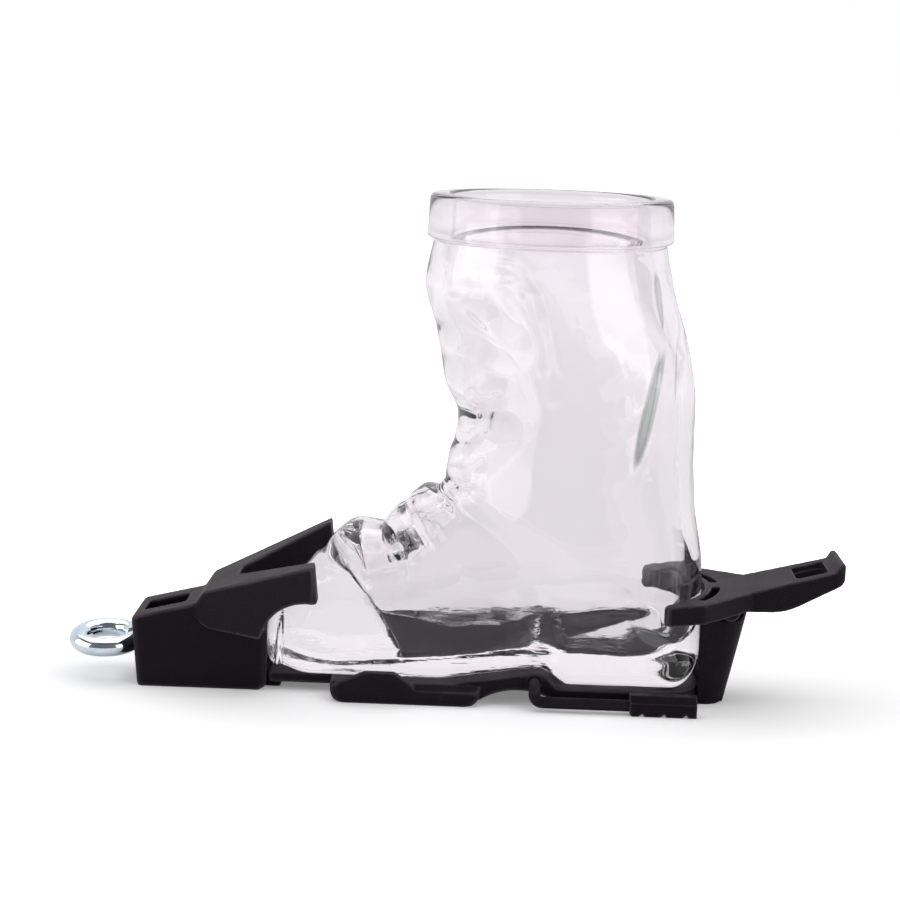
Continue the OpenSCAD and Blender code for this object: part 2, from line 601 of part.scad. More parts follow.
lever_low = pin_z + 0.25;
tail_top = tail_z(tail_x);
tail_hw = lever_hw - lever_taper;
bend_r = 10;
lever_side = concat([[neck_x - 3, fork_z(neck_x - 3)], [neck_x - 3, lever_low]],
    arc([neck_x + 3.2, lever_low + bend_r], bend_r, 270, 298),
    [[tail_x - 0.6, tail_top - 2.7], [tail_x, tail_top - 2], [tail_x, tail_top + 0.4],
    [tail_x - 0.5, tail_top + 0.95], [tail_x - 1.1, tail_top + 0.8], [tail_x - 1.8, tail_z(tail_x - 1.8)],
    [neck_x, neck_top]]);
lever_plan = concat([[neck_x - 3, lever_hw], [neck_x - 3, -lever_hw], [neck_x, -lever_hw]],
    arc([tail_x - 1.5, -tail_hw + 1.5], 1.5, 270, 360), arc([tail_x - 1.5, tail_hw - 1.5], 1.5, 0, 90),
    [[neck_x, lever_hw]]);
hollow_x = pivot_x + 1.9;
hollow_side = [[hollow_x, pin_z - 4], [tail_x - 1.4, pin_z - 4],
    [tail_x - 1.4, tail_z(tail_x - 1.4) - roof_t],
    [neck_x, neck_top - roof_t], [hollow_x, fork_z(hollow_x) - roof_t]];
hollow_plan = [[hollow_x, -lever_hw + skirt_t], [neck_x, -lever_hw + skirt_t],
    [tail_x - 1.4, -tail_hw + skirt_t], [tail_x - 1.4, tail_hw - skirt_t],
    [neck_x, lever_hw - skirt_t], [hollow_x, lever_hw - skirt_t]];
ear_r = 1.5;
ear_side = concat([[pivot_x - ear_r, pin_z + 1.2]], arc([pivot_x, pin_z], ear_r, 180, 360, 20),
    [[pivot_x + ear_r, pin_z + 1.2]]);
cup_r = knuckle_r + side_gap;
cup_side = concat([[pivot_x - cup_r, pin_z - 3]], arc([pivot_x, pin_z], cup_r, 180, 90, 12),
    [[hollow_x + 0.2, pin_z + cup_r], [hollow_x + 0.2, pin_z - 3]]);
slot_x = tail_x - 2.7 - pole_slot_l;
module curved_slot(a, b) {
    r = fork_in + lip_t;
    m = r + slot_w / 2;
    translate([heel_c, 0, 0])
        linear_extrude(40)
            polygon(concat(arc([0, 0], r, a, b, 12), arc(m * [cos(b), sin(b)], slot_w / 2, b + 180, b, 8),
                arc([0, 0], r + slot_w, b, a, 12), arc(m * [cos(a), sin(a)], slot_w / 2, a, a - 180, 8)));
}
module heel_lever() {
    color("#221f25")
        placed()
            difference() {
                union() {
                    intersection() {
                        side_prism(fork_side, -fork_hw, fork_hw);
                        plan_prism(fork_plan, 0, 30);
                    }
                    difference() {
                        intersection() {
                            side_prism(lever_side, -lever_hw, lever_hw);
                            plan_prism(lever_plan, 0, 40);
                        }
                        intersection() {
                            side_prism(hollow_side, -lever_hw, lever_hw);
                            plan_prism(hollow_plan, 0, 40);
                        }
                    }
                    both_sides()
                        side_prism(ear_side, knuckle_hw + side_gap, lever_hw);
                }
                translate([heel_c, 0, 0])
                    cylinder(r = fork_in, h = 40, $fn = 96);
                both_sides()
                    curved_slot(8, 36);
                intersection() {
                    side_prism(hollow_side, -lever_hw, lever_hw);
                    plan_prism(hollow_plan, 0, 40);
                }
                side_prism(cup_side, -knuckle_hw - side_gap, knuckle_hw + side_gap);
                rod_y(pivot_x, pin_z, pin_r + run_fit, lever_hw - 0.7);
                plan_prism(round_rect(slot_x, slot_x + pole_slot_l, pole_slot_hw, 0.8, 0.8), pin_z + 1, 40);
            }
}

// Pin that the lever turns on
module lever_pin() {
    color("silver")
        placed()
            rod_y(pivot_x, pin_z, pin_r, lever_hw - 0.8);
}

// Brake wire: straight run, upward bend and inward bend into the base plate
up_bend = 0.54 * axle_rise;
in_bend = axle_z - arm_z - up_bend;
module brake_arm() {
    foot_front = foot_x - foot_l;
    translate([elbow_x + up_bend, 0, arm_z])
        rotate([0, 90, 0])
            cylinder(r = arm_r, h = foot_front + 0.65 * foot_l - elbow_x - up_bend);
    translate([elbow_x + up_bend, 0, arm_z + up_bend])
        rotate([90, 0, 0])
            rotate([0, 0, 180])
                rotate_extrude(angle = 90)
                    translate([up_bend, 0])
                        circle(r = arm_r, $fn = 32);
    translate([elbow_x, in_bend, axle_z - in_bend])
        rotate([0, -90, 0])
            rotate([0, 0, 180])
                mirror([1, 0, 0])
                    rotate_extrude(angle = 90)
                        translate([in_bend, 0])
                            circle(r = arm_r, $fn = 32);
    translate([elbow_x, in_bend, axle_z])
        rotate([-90, 0, 0])
            cylinder(r = arm_r, h = arm_y - in_bend - deck_hw + axle_in);
}
module brake_arm_left() {
    color("#2a282c")
        placed()
            translate([0, -arm_y, 0])
                brake_arm();
}
module brake_arm_right() {
    color("#2a282c")
        placed()
            mirror([0, 1, 0])
                translate([0, -arm_y, 0])
                    brake_arm();
}

// Brake foot: a shoe with a saw-toothed sole and a slanted shoulder on the end of the wire
notch_l = 0.9;
function foot_sole(i) =
    let (x = foot_x - foot_l + (0.135 + 0.975 * i / foot_notches) * foot_l)
    [[x, 0], [x + notch_l - 0.15, notch_d], [x + notch_l, 0]];
foot_side = concat([[foot_x - foot_l, 0.5], [foot_x - foot_l + 0.3, 0]],
    [for (i = [0 : foot_notches - 1], q = foot_sole(i)) q],
    [[foot_x, 0], [foot_x, foot_h], [foot_x - foot_l, foot_h]]);
foot_end = [[-foot_t / 2, 0], [foot_t / 2, 0], [foot_t / 2, foot_h], [0.1 - foot_t / 6, foot_h],
    [-foot_t / 2, foot_h - 1.1]];
module brake_foot() {
    difference() {
        intersection() {
            side_prism(foot_side, -foot_t / 2, foot_t / 2);
            translate([foot_x - foot_l, 0, 0])
                rotate([90, 0, 90])
                    linear_extrude(foot_l)
                        polygon(foot_end);
        }
        translate([foot_x - foot_l - 1, 0, arm_z])
            rotate([0, 90, 0])
                cylinder(r = arm_r + run_fit, h = 0.65 * foot_l + 1.2);
    }
}
module brake_foot_left() {
    color("#1d1b1f")
        placed()
            translate([0, -arm_y, 0])
                brake_foot();
}
module brake_foot_right() {
    color("#1d1b1f")
        placed()
            mirror([0, 1, 0])
                translate([0, -arm_y, 0])
                    brake_foot();
}

// Countersunk screws from below
module screw(x, y) {
    translate([x, y, 0.05]) {
        cylinder(r1 = head_r, r2 = screw_r, h = head_r - screw_r);
        cylinder(r = screw_r, h = screw_l);
    }
}
module toe_screws() {
    color("silver")
        placed()
            both_sides()
                screw(toe_screw_x, toe_screw_y);
}
module heel_screw() {
    color("silver")
        placed()
            screw(heel_screw_x, 0);
}

glass_boot();
toe_piece();
eye_screw();
base_plate();
heel_post();
heel_lever();
lever_pin();
brake_arm_left();
brake_arm_right();
brake_foot_left();
brake_foot_right();
toe_screws();
heel_screw();
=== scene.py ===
"""Looks of a glass ski boot that stands in a black toy binding with a zinc screw eye.

All sizes are millimetres in the drawing frame, whose origin lies under the axis of the boot's leg.
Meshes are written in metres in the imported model's own frame.
"""

import logging
import math
from dataclasses import dataclass
from enum import Enum, IntEnum
from typing import Sequence

import bmesh
import bpy
import numpy as np
from mathutils import Matrix, Vector


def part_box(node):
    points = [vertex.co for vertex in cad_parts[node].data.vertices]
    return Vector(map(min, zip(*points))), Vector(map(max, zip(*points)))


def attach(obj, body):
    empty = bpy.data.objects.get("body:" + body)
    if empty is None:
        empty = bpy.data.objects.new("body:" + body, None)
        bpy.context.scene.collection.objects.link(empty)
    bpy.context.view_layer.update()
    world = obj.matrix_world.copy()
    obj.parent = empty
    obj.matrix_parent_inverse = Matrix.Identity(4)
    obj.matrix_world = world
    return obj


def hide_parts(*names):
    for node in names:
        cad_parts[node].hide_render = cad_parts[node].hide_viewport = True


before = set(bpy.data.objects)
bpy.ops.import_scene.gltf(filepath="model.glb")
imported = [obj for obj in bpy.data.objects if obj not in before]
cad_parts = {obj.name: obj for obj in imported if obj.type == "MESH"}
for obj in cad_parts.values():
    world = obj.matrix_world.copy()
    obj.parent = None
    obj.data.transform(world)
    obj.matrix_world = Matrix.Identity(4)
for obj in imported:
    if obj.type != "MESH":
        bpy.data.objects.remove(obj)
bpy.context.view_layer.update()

MM = 0.001
LOG = logging.getLogger("ski_boot_glass")

Pair = tuple[float, float]
Point = tuple[float, float, float]
Colour = tuple[float, float, float]
Stops = Sequence[tuple[float, Colour]]
Object = bpy.types.Object
Material = bpy.types.Material
Node = bpy.types.Node
Socket = bpy.types.NodeSocket


class Body(str, Enum):
    """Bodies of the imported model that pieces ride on."""

    BINDING = "binding"
    BOOT = "boot"
    LEVER = "lever"


class Slot(str, Enum):
    """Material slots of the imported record."""

    GLASS = "glass"
    BLACK = "black_plastic"
    BASE = "base_plastic"
    BRAKE = "brake_plastic"
    ZINC = "zinc"


# Mesh helpers


def link(name: str, data: bpy.types.ID) -> Object:
    """Make an object of mesh, lamp or camera data and link it to the scene at the origin."""
    obj = bpy.data.objects.new(name, data)
    bpy.context.scene.collection.objects.link(obj)
    return obj


def put_mesh(name: str, points: np.ndarray, faces: Sequence[np.ndarray]) -> Object:
    """Make a smooth-shaded object from whole arrays of points and faces.

    Args:
        name: Name of the piece.
        points: Points in metres, shape (count, 3).
        faces: Arrays of point numbers, one array for each number of corners.

    Returns:
        The new object.
    """
    mesh = bpy.data.meshes.new(name)
    sizes = np.concatenate([np.full(len(f), f.shape[1]) for f in faces])
    corners = np.concatenate([f.ravel() for f in faces])
    starts = np.concatenate([[0], np.cumsum(sizes)[:-1]])
    mesh.vertices.add(len(points))
    mesh.vertices.foreach_set("co", points.astype(np.float32).ravel())
    mesh.loops.add(len(corners))
    mesh.loops.foreach_set("vertex_index", corners.astype(np.int32))
    mesh.polygons.add(len(sizes))
    mesh.polygons.foreach_set("loop_start", starts.astype(np.int32))
    mesh.polygons.foreach_set("use_smooth", np.ones(len(sizes), bool))
    mesh.update(calc_edges=True)
    mesh.validate()
    return link(name, mesh)


def stack_faces(rows: int, seg: int) -> np.ndarray:
    """Quads of a stack of closed rings: each corner joins its neighbour on the next ring.

    Args:
        rows: Number of rings.
        seg: Points on each ring.

    Returns:
        Array of quads, shape (count, 4).
    """
    i, k = np.meshgrid(np.arange(rows - 1), np.arange(seg), indexing="ij")
    a = i * seg + k
    b = i * seg + (k + 1) % seg
    return np.stack([a, b, b + seg, a + seg], -1).reshape(-1, 4)


def capped_stack(name: str, rings: np.ndarray) -> Object:
    """Close a stack of rings with a fan of triangles at each end.

    The sign of the enclosed volume, a sum of triple products, turns the faces outward.

    Args:
        name: Name of the piece.
        rings: Points in metres, shape (rings, points, 3).

    Returns:
        The new object.
    """
    rows, seg, _ = rings.shape
    ends = np.stack([rings[0].mean(0), rings[-1].mean(0)])
    points = np.concatenate([rings.reshape(-1, 3), ends])
    k = np.arange(seg)
    low = np.stack([np.full(seg, rows * seg), (k + 1) % seg, k], -1)
    top = (rows - 1) * seg
    high = np.stack([np.full(seg, rows * seg + 1), top + k, top + (k + 1) % seg], -1)
    quads, fans = stack_faces(rows, seg), np.concatenate([low, high])
    triangles = np.concatenate([quads[:, [0, 1, 2]], quads[:, [0, 2, 3]], fans])
    a, b, c = (points[triangles[:, corner]] for corner in range(3))
    inward = np.einsum("ij,ij->", a, np.cross(b, c)) < 0
    return put_mesh(name, points, [f[:, ::-1] if inward else f for f in (quads, fans)])


def sweep_tube(name: str, path: np.ndarray, radius: np.ndarray, seg: int) -> Object:
    """Carry a circle along a path; the frame turns by the least angle from point to point.

    Args:
        name: Name of the piece.
        path: Points of the path in metres, shape (count, 3).
        radius: Radius in metres at each point.
        seg: Points round the circle.

    Returns:
        The tube, closed at both ends.
    """
    tangent = np.gradient(path, axis=0)
    tangent /= np.linalg.norm(tangent, axis=1, keepdims=True)
    side = np.zeros_like(tangent)
    start = np.cross(tangent[0], [0.3, 0.2, 1.0])
    side[0] = start / np.linalg.norm(start)
    for i in range(1, len(path)):
        flat = side[i - 1] - tangent[i] * np.dot(side[i - 1], tangent[i])
        side[i] = flat / np.linalg.norm(flat)
    other = np.cross(tangent, side)
    turn = np.linspace(0, 2 * np.pi, seg, endpoint=False)[None, :, None]
    circle = np.cos(turn) * side[:, None] + np.sin(turn) * other[:, None]
    return capped_stack(name, path[:, None] + radius[:, None, None] * circle)


def arc_points(centre: Pair, radius: float, start: float, end: float, count: int) -> np.ndarray:
    """Points on a circle arc in a plane, from one angle in degrees to another."""
    a = np.radians(np.linspace(start, end, count))
    return np.asarray(centre) + radius * np.stack([np.cos(a), np.sin(a)], -1)


def settle(obj: Object, body: Body, material: Material, node: str) -> None:
    """Give a piece its finish and body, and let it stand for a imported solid.

    Args:
        obj: The piece.
        body: Body that it rides on.
        material: The finish.
        node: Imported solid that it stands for.
    """
    obj.data.materials.clear()
    obj.data.materials.append(material)
    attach(obj, body.value)
    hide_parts(node)
    LOG.info("piece %s rides on %s", obj.name, body.value)


# Node helpers


class NodeSheet:
    """A node tree with short calls for adding nodes and joining sockets."""

    def __init__(self, tree: bpy.types.NodeTree) -> None:
        """Keep the tree and empty it."""
        self.tree = tree
        tree.nodes.clear()

    def add(self, kind: str, **values: object) -> Node:
        """Add a node and set its properties.

        Args:
            kind: Blender's name of the node type.
            values: Properties of the node.

        Returns:
            The new node.
        """
        node = self.tree.nodes.new(kind)
        for key, value in values.items():
            setattr(node, key, value)
        return node

    def join(self, out: Socket, into: Socket) -> None:
        """Link one socket to another."""
        self.tree.links.new(out, into)

    def feed(self, value: object, into: Socket) -> None:
        """Link a socket, or set a constant."""
        if isinstance(value, Socket):
            self.join(value, into)
        else:
            into.default_value = value

    def math(self, operation: str, *values: object) -> Socket:
        """Add a Math node.

        Args:
            operation: Blender's name of the operation.
            values: Values or sockets that it works on.

        Returns:
            The result's socket.
        """
        node = self.add("ShaderNodeMath", operation=operation)
        for value, socket in zip(values, node.inputs):
            self.feed(value, socket)
        return node.outputs[0]

    def ramp(self, value: Socket, stops: Stops) -> Socket:
        """Add a colour ramp.

        Args:
            value: Socket that drives the ramp.
            stops: Pairs of place and colour.

        Returns:
            The colour's socket.
        """
        node = self.add("ShaderNodeValToRGB")
        line = node.color_ramp.elements
        while len(line) < len(stops):
            line.new(0.5)
        for spot, (place, colour) in zip(line, stops):
            spot.position = place
            spot.color = (*colour, 1.0)
        self.join(value, node.inputs[0])
        return node.outputs[0]

    def noise(self, vector: Socket, scale: object, detail: float, rough: float) -> Socket:
        """Add a noise texture and return its value socket."""
        node = self.add("ShaderNodeTexNoise")
        self.join(vector, node.inputs["Vector"])
        self.feed(scale, node.inputs["Scale"])
        node.inputs["Detail"].default_value = detail
        node.inputs["Roughness"].default_value = rough
        return node.outputs["Fac"]

    def step(self, value: Socket, span: Pair, most: float = 1.0, least: float = 0.0) -> Socket:
        """Smooth step of a value.

        Args:
            value: Socket with the value.
            span: Values where the step begins and ends.
            most: Result at the end.
            least: Result at the beginning.

        Returns:
            The step's socket.
        """
        node = self.add("ShaderNodeMapRange", interpolation_type="SMOOTHSTEP")
        self.join(value, node.inputs["Value"])
        for key, number in zip(("From Min", "From Max", "To Min", "To Max"), (*span, least, most)):
            node.inputs[key].default_value = number
        return node.outputs["Result"]

    def mix(self, share: Socket, a: object, b: object) -> Socket:
        """Mix two colours.

        Args:
            share: Socket with the second colour's share.
            a: First colour or its socket.
            b: Second colour or its socket.

        Returns:
            The colour's socket.
        """
        node = self.add("ShaderNodeMix", data_type="RGBA")
        self.join(share, node.inputs["Factor"])
        self.feed(a, node.inputs["A"])
        self.feed(b, node.inputs["B"])
        return node.outputs["Result"]

    def split(self, vector: Socket) -> Node:
        """Add a node that parts a vector into X, Y and Z."""
        node = self.add("ShaderNodeSeparateXYZ")
        self.join(vector, node.inputs[0])
        return node

    def stretched(self, vector: Socket, scale: Point) -> Socket:
        """Scale a vector along X, Y and Z and return its socket."""
        node = self.add("ShaderNodeMapping")
        node.inputs["Scale"].default_value = scale
        self.join(vector, node.inputs["Vector"])
        return node.outputs[0]

    def object_vector(self) -> Socket:
        """Add a Texture Coordinate node and return its Object socket."""
        return self.add("ShaderNodeTexCoord").outputs["Object"]

    def looks(self) -> tuple[Socket, Socket]:
        """Masks of direct looks, and of looks in a mirror or through glass."""
        path = self.add("ShaderNodeLightPath")
        bent = self.math("MAXIMUM", path.outputs["Is Glossy Ray"], path.outputs["Is Transmission Ray"])
        return path.outputs["Is Camera Ray"], bent


def moulded_grain_group() -> bpy.types.NodeTree:
    """Group for moulded grain: fine cells over slow unevenness, with a mask of convex edges for wear and a
    painted edge highlight.

    Returns:
        The node group, with Height, Speck, Haze and Edge outputs.
    """
    found = bpy.data.node_groups.get("moulded_grain")
    if found:
        return found
    tree = bpy.data.node_groups.new("moulded_grain", "ShaderNodeTree")
    for label in ("Cells per metre", "Height", "Speck", "Haze", "Edge"):
        way = "INPUT" if label == "Cells per metre" else "OUTPUT"
        tree.interface.new_socket(name=label, in_out=way, socket_type="NodeSocketFloat")
    sheet = NodeSheet(tree)
    source, sink = sheet.add("NodeGroupInput"), sheet.add("NodeGroupOutput")
    place = sheet.object_vector()
    cells = sheet.add("ShaderNodeTexVoronoi", feature="SMOOTH_F1")
    cells.inputs["Smoothness"].default_value = 0.35
    sheet.join(place, cells.inputs["Vector"])
    sheet.join(source.outputs["Cells per metre"], cells.inputs["Scale"])
    fine = sheet.noise(place, sheet.math("MULTIPLY", source.outputs["Cells per metre"], 0.7), 4.0, 0.6)
    slow = sheet.noise(place, 140.0, 3.0, 0.5)
    grain = sheet.math("MULTIPLY_ADD", cells.outputs["Distance"], -0.7, fine)
    height = sheet.math("MULTIPLY_ADD", slow, 0.35, grain)
    speck = sheet.math("POWER", sheet.math("MAXIMUM", grain, 0.0), 2.0)
    # Mask of convex edges, where the plastic's colour gets wear and a painted highlight
    corner = sheet.step(sheet.add("ShaderNodeNewGeometry").outputs["Pointiness"], (0.503, 0.535))
    edge = sheet.math("MULTIPLY", corner, slow)
    for value, label in ((height, "Height"), (speck, "Speck"), (slow, "Haze"), (edge, "Edge")):
        sheet.join(value, sink.inputs[label])
    return tree


# Finishes


@dataclass(frozen=True)
class Finish:
    """A surface finish that can make its own material."""

    name: str

    def sheet(self) -> tuple[Material, NodeSheet, Node]:
        """Start a material with a Principled shader.

        Returns:
            The material, its node sheet and the shader node.
        """
        material = bpy.data.materials.new(self.name)
        material.use_nodes = True
        sheet = NodeSheet(material.node_tree)
        shader = sheet.add("ShaderNodeBsdfPrincipled")
        out = sheet.add("ShaderNodeOutputMaterial")
        sheet.join(shader.outputs[0], out.inputs["Surface"])
        return material, sheet, shader

    def bump(self, sheet: NodeSheet, shader: Node, height: Socket, strength: float, depth: float) -> None:
        """Add a bump from a height socket to the shader's normal.

        Args:
            sheet: The material's sheet.
            shader: The Principled shader.
            height: Socket with the height.
            strength: Strength of the bump.
            depth: Depth in millimetres.
        """
        bump = sheet.add("ShaderNodeBump")
        bump.inputs["Strength"].default_value = strength
        bump.inputs["Distance"].default_value = depth * MM
        sheet.join(height, bump.inputs["Height"])
        sheet.join(bump.outputs[0], shader.inputs["Normal"])


@dataclass(frozen=True)
class GrainedPlastic(Finish):
    """Black moulded plastic with a fine grain that catches light on its tops; its edges are lightened
    partly by wear and partly by a painted highlight.
    """

    dark: Colour = (0.0092, 0.0062, 0.0100)
    light: Colour = (0.0235, 0.0168, 0.0252)
    # Lighter colour of the edges: partly wear, partly a painted highlight
    edge_wear_and_highlight: Colour = (0.085, 0.07, 0.088)
    rough: Pair = (0.36, 0.54)
    cells: float = 5400.0
    depth: float = 0.06
    gloss: float = 0.085
    sheen: Colour = (1.0, 0.82, 1.0)

    def material(self) -> Material:
        """Make the material: grain group into colour, roughness and bump."""
        material, sheet, shader = self.sheet()
        group = sheet.add("ShaderNodeGroup")
        group.node_tree = moulded_grain_group()
        group.inputs["Cells per metre"].default_value = self.cells
        colour = sheet.ramp(group.outputs["Speck"], [(0.0, self.dark), (0.5, self.light)])
        colour = sheet.mix(group.outputs["Edge"], colour, (*self.edge_wear_and_highlight, 1.0))
        sheet.join(colour, shader.inputs["Base Color"])
        smooth, coarse = self.rough
        rough = sheet.math("MULTIPLY_ADD", group.outputs["Haze"], coarse - smooth, smooth)
        sheet.join(rough, shader.inputs["Roughness"])
        shader.inputs["Specular IOR Level"].default_value = self.gloss
        shader.inputs["Specular Tint"].default_value = (*self.sheen, 1.0)
        self.bump(sheet, shader, group.outputs["Height"], 0.6, self.depth)
        return material


@dataclass(frozen=True)
class PaintedStreak:
    """A drop-shaped streak of painted shade in the glass in side view, in drawing millimetres and degrees.
    """

    middle: Pair
    half: Pair
    turn: float
    taper: float = 0.0

    def distance(self, sheet: NodeSheet, place: Socket, shift: float) -> Socket:
        """Distance from the middle, 1 on the outline: an ellipse that narrows toward its upper end.

        Args:
            sheet: The material's sheet.
            place: Socket with the place on the piece.
            shift: Millimetres from the drawing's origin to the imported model's origin.

        Returns:
            The distance's socket.
        """
        turned = sheet.add("ShaderNodeMapping", vector_type="TEXTURE")
        turned.inputs["Location"].default_value = ((self.middle[0] + shift) * MM, 0.0, self.middle[1] * MM)
        turned.inputs["Rotation"].default_value = (0.0, -math.radians(self.turn), 0.0)
        turned.inputs["Scale"].default_value = (self.half[0] * MM, 1.0, self.half[1] * MM)
        sheet.join(place, turned.inputs["Vector"])
        part = sheet.split(turned.outputs[0])
        narrow = sheet.math("MULTIPLY_ADD", part.outputs["X"], self.taper, 1.0)
        across = sheet.math("MULTIPLY", part.outputs["Z"], narrow)
        squares = sheet.math("MULTIPLY_ADD", across, across, sheet.math("POWER", part.outputs["X"], 2.0))
        return sheet.math("SQRT", squares)


@dataclass(frozen=True)
class ClearGlass(Finish):
    """Clear pressed glass with a pale lilac cast, a slightly wavy skin and green-grey streaks of painted
    refraction shade.

    The places of collar and flow are in metres, the shift and the depths of ripple and flow in millimetres.
    """

    shift: float = 0.0
    tint: Colour = (0.974, 0.95, 0.972)
    cloud: Colour = (0.962, 0.934, 0.96)
    collar: Colour = (0.895, 0.852, 0.892)
    collar_z: Pair = (0.0734, 0.0752)
    # Painted shade: green-grey colours and fade of the streaks that stand in for dark refraction in the
    # thick glass
    painted_streak_colours: Stops = ((0.0, (0.60, 0.65, 0.60)), (0.5, (0.46, 0.52, 0.47)), (0.8, (0.30, 0.34, 0.31)))
    painted_streak_fade: Pair = (1.0, 0.7)
    painted_streaks: tuple[PaintedStreak, ...] = (
        PaintedStreak((15.75, 49.7), (10.2, 0.98), 80.0, 0.3),
        PaintedStreak((17.0, 66.5), (5.0, 0.6), 99.8, -0.4),
        PaintedStreak((20.2, 55.0), (4.6, 0.2), 90.0),
    )
    index: float = 1.5
    ripple: float = 0.05
    flow: float = 0.1
    flow_z: Pair = (0.026, 0.014)
    flow_x: Pair = (0.036, 0.026)

    def lay_painted_streaks(self, sheet: NodeSheet, place: Socket, part: Node, colour: Socket) -> Socket:
        """Lay the streaks of painted shade over a colour, on the near side alone, where they stand in for
        dark refraction.

        Args:
            sheet: The material's sheet.
            place: Socket with the place on the piece.
            part: Node with the place's X, Y and Z.
            colour: Socket with the colour.

        Returns:
            The new colour's socket.
        """
        # Painted shade: the streaks darken the glass colour on the near side alone
        near = self.painted_streaks[0].distance(sheet, place, self.shift)
        for painted_streak in self.painted_streaks[1:]:
            near = sheet.math("MINIMUM", near, painted_streak.distance(sheet, place, self.shift))
        front = sheet.math("LESS_THAN", part.outputs["Y"], 0.0)
        share = sheet.math("MULTIPLY", front, sheet.step(near, self.painted_streak_fade))
        return sheet.mix(share, colour, sheet.ramp(near, self.painted_streak_colours))

    def material(self) -> Material:
        """Make the material: full transmission, a pinker collar, green streaks of painted refraction shade,
        ripples and flow lines.
        """
        material, sheet, shader = self.sheet()
        place = sheet.object_vector()
        part = sheet.split(place)
        colour = sheet.ramp(sheet.noise(place, 70.0, 2.0, 0.5), [(0.3, self.tint), (0.75, self.cloud)])
        upper = sheet.step(part.outputs["Z"], self.collar_z)
        colour = sheet.mix(upper, colour, (*self.collar, 1.0))
        sheet.join(self.lay_painted_streaks(sheet, place, part, colour), shader.inputs["Base Color"])
        shader.inputs["Metallic"].default_value = 0.0
        shader.inputs["Transmission Weight"].default_value = 1.0
        shader.inputs["IOR"].default_value = self.index
        shader.inputs["Roughness"].default_value = 0.0
        lines = sheet.noise(sheet.stretched(place, (0.16, 1.0, 1.0)), 560.0, 3.0, 0.6)
        low = sheet.math("MULTIPLY", sheet.step(part.outputs["Z"], self.flow_z, self.flow),
                         sheet.step(part.outputs["X"], self.flow_x))
        calm = sheet.math("MULTIPLY_ADD", upper, -self.ripple, self.ripple)
        ripple = sheet.math("MULTIPLY", sheet.noise(place, 180.0, 2.0, 0.5), calm)
        self.bump(sheet, shader, sheet.math("MULTIPLY_ADD", lines, low, ripple), 1.0, 1.0)
        return material


@dataclass(frozen=True)
class ZincPlate(Finish):
    """Bright zinc plate with a bluish cast and faint draw lines."""

    pale: Colour = (0.80, 0.86, 0.90)
    blue: Colour = (0.48, 0.66, 0.77)

    def material(self) -> Material:
        """Make the material: metal whose cast and gloss drift over the wire."""
        material, sheet, shader = self.sheet()
        place = sheet.object_vector()
        drift = sheet.noise(place, 220.0, 3.0, 0.6)
        sheet.join(sheet.ramp(drift, [(0.35, self.pale), (0.7, self.blue)]), shader.inputs["Base Color"])
        shader.inputs["Metallic"].default_value = 1.0
        fine = sheet.noise(place, 1500.0, 4.0, 0.65)
        sheet.join(sheet.math("MULTIPLY_ADD", fine, 0.10, 0.05), shader.inputs["Roughness"])
        self.bump(sheet, shader, fine, 0.1, 0.05)
        return material


@dataclass(frozen=True)
class PlainSteel(Finish):
    """Plain steel with fine turned lines."""

    dark: Colour = (0.336, 0.336, 0.348)
    light: Colour = (0.56, 0.56, 0.58)

    def material(self) -> Material:
        """Make the material: metal with stretched noise as turning marks."""
        material, sheet, shader = self.sheet()
        lines = sheet.noise(sheet.stretched(sheet.object_vector(), (1.0, 1.0, 9.0)), 900.0, 4.0, 0.6)
        sheet.join(sheet.ramp(lines, [(0.3, self.dark), (0.7, self.light)]), shader.inputs["Base Color"])
        shader.inputs["Metallic"].default_value = 1.0
        sheet.join(sheet.math("MULTIPLY_ADD", lines, 0.25, 0.22), shader.inputs["Roughness"])
        self.bump(sheet, shader, lines, 0.15, 0.05)
        return material


@dataclass(frozen=True)
class WhiteSweep(Finish):
    """White floor that stays white to the camera and keeps the soft shadow; distances in metres.

    The glow from near to far is seen directly and grows over the rise, in shares of the foot, which is
    about the object's half size. The glow through is seen in mirrors and glass and grows over the span.
    """

    paint: Colour = (0.82, 0.82, 0.825)
    through: float = 0.58
    span: Pair = (0.1, 1.05)
    cast: Colour = (1.0, 0.955, 0.995)
    near: float = 0.2
    far: float = 1.0
    foot: Pair = (0.068, 0.022)
    rise: Pair = (0.9, 3.6)

    @staticmethod
    def away(sheet: NodeSheet, place: Socket) -> Socket:
        """Distance from the floor's middle."""
        spread = sheet.add("ShaderNodeVectorMath", operation="LENGTH")
        sheet.join(place, spread.inputs[0])
        return spread.outputs["Value"]

    def material(self) -> Material:
        """Make the material: diffuse white, and a glow for looks alone that grows with distance."""
        material, sheet, shader = self.sheet()
        shader.inputs["Base Color"].default_value = (*self.paint, 1.0)
        shader.inputs["Roughness"].default_value = 0.9
        shader.inputs["Specular IOR Level"].default_value = 0.0
        direct, bent = sheet.looks()
        place = sheet.object_vector()
        shares = sheet.stretched(place, (1 / self.foot[0], 1 / self.foot[1], 1.0))
        grown = sheet.step(self.away(sheet, shares), self.rise, self.far, self.near)
        plain = sheet.math("MULTIPLY", direct, grown)
        through = sheet.math("MULTIPLY", bent, sheet.step(self.away(sheet, place), self.span, self.through))
        glow = sheet.add("ShaderNodeEmission")
        sheet.join(sheet.math("ADD", plain, through), glow.inputs["Strength"])
        sheet.join(sheet.mix(bent, (1.0, 1.0, 1.0, 1.0), (*self.cast, 1.0)), glow.inputs["Color"])
        both = sheet.add("ShaderNodeAddShader")
        sheet.join(shader.outputs[0], both.inputs[0])
        sheet.join(glow.outputs[0], both.inputs[1])
        sheet.join(both.outputs[0], sheet.tree.get_output_node("ALL").inputs["Surface"])
        return material


# Glass boot


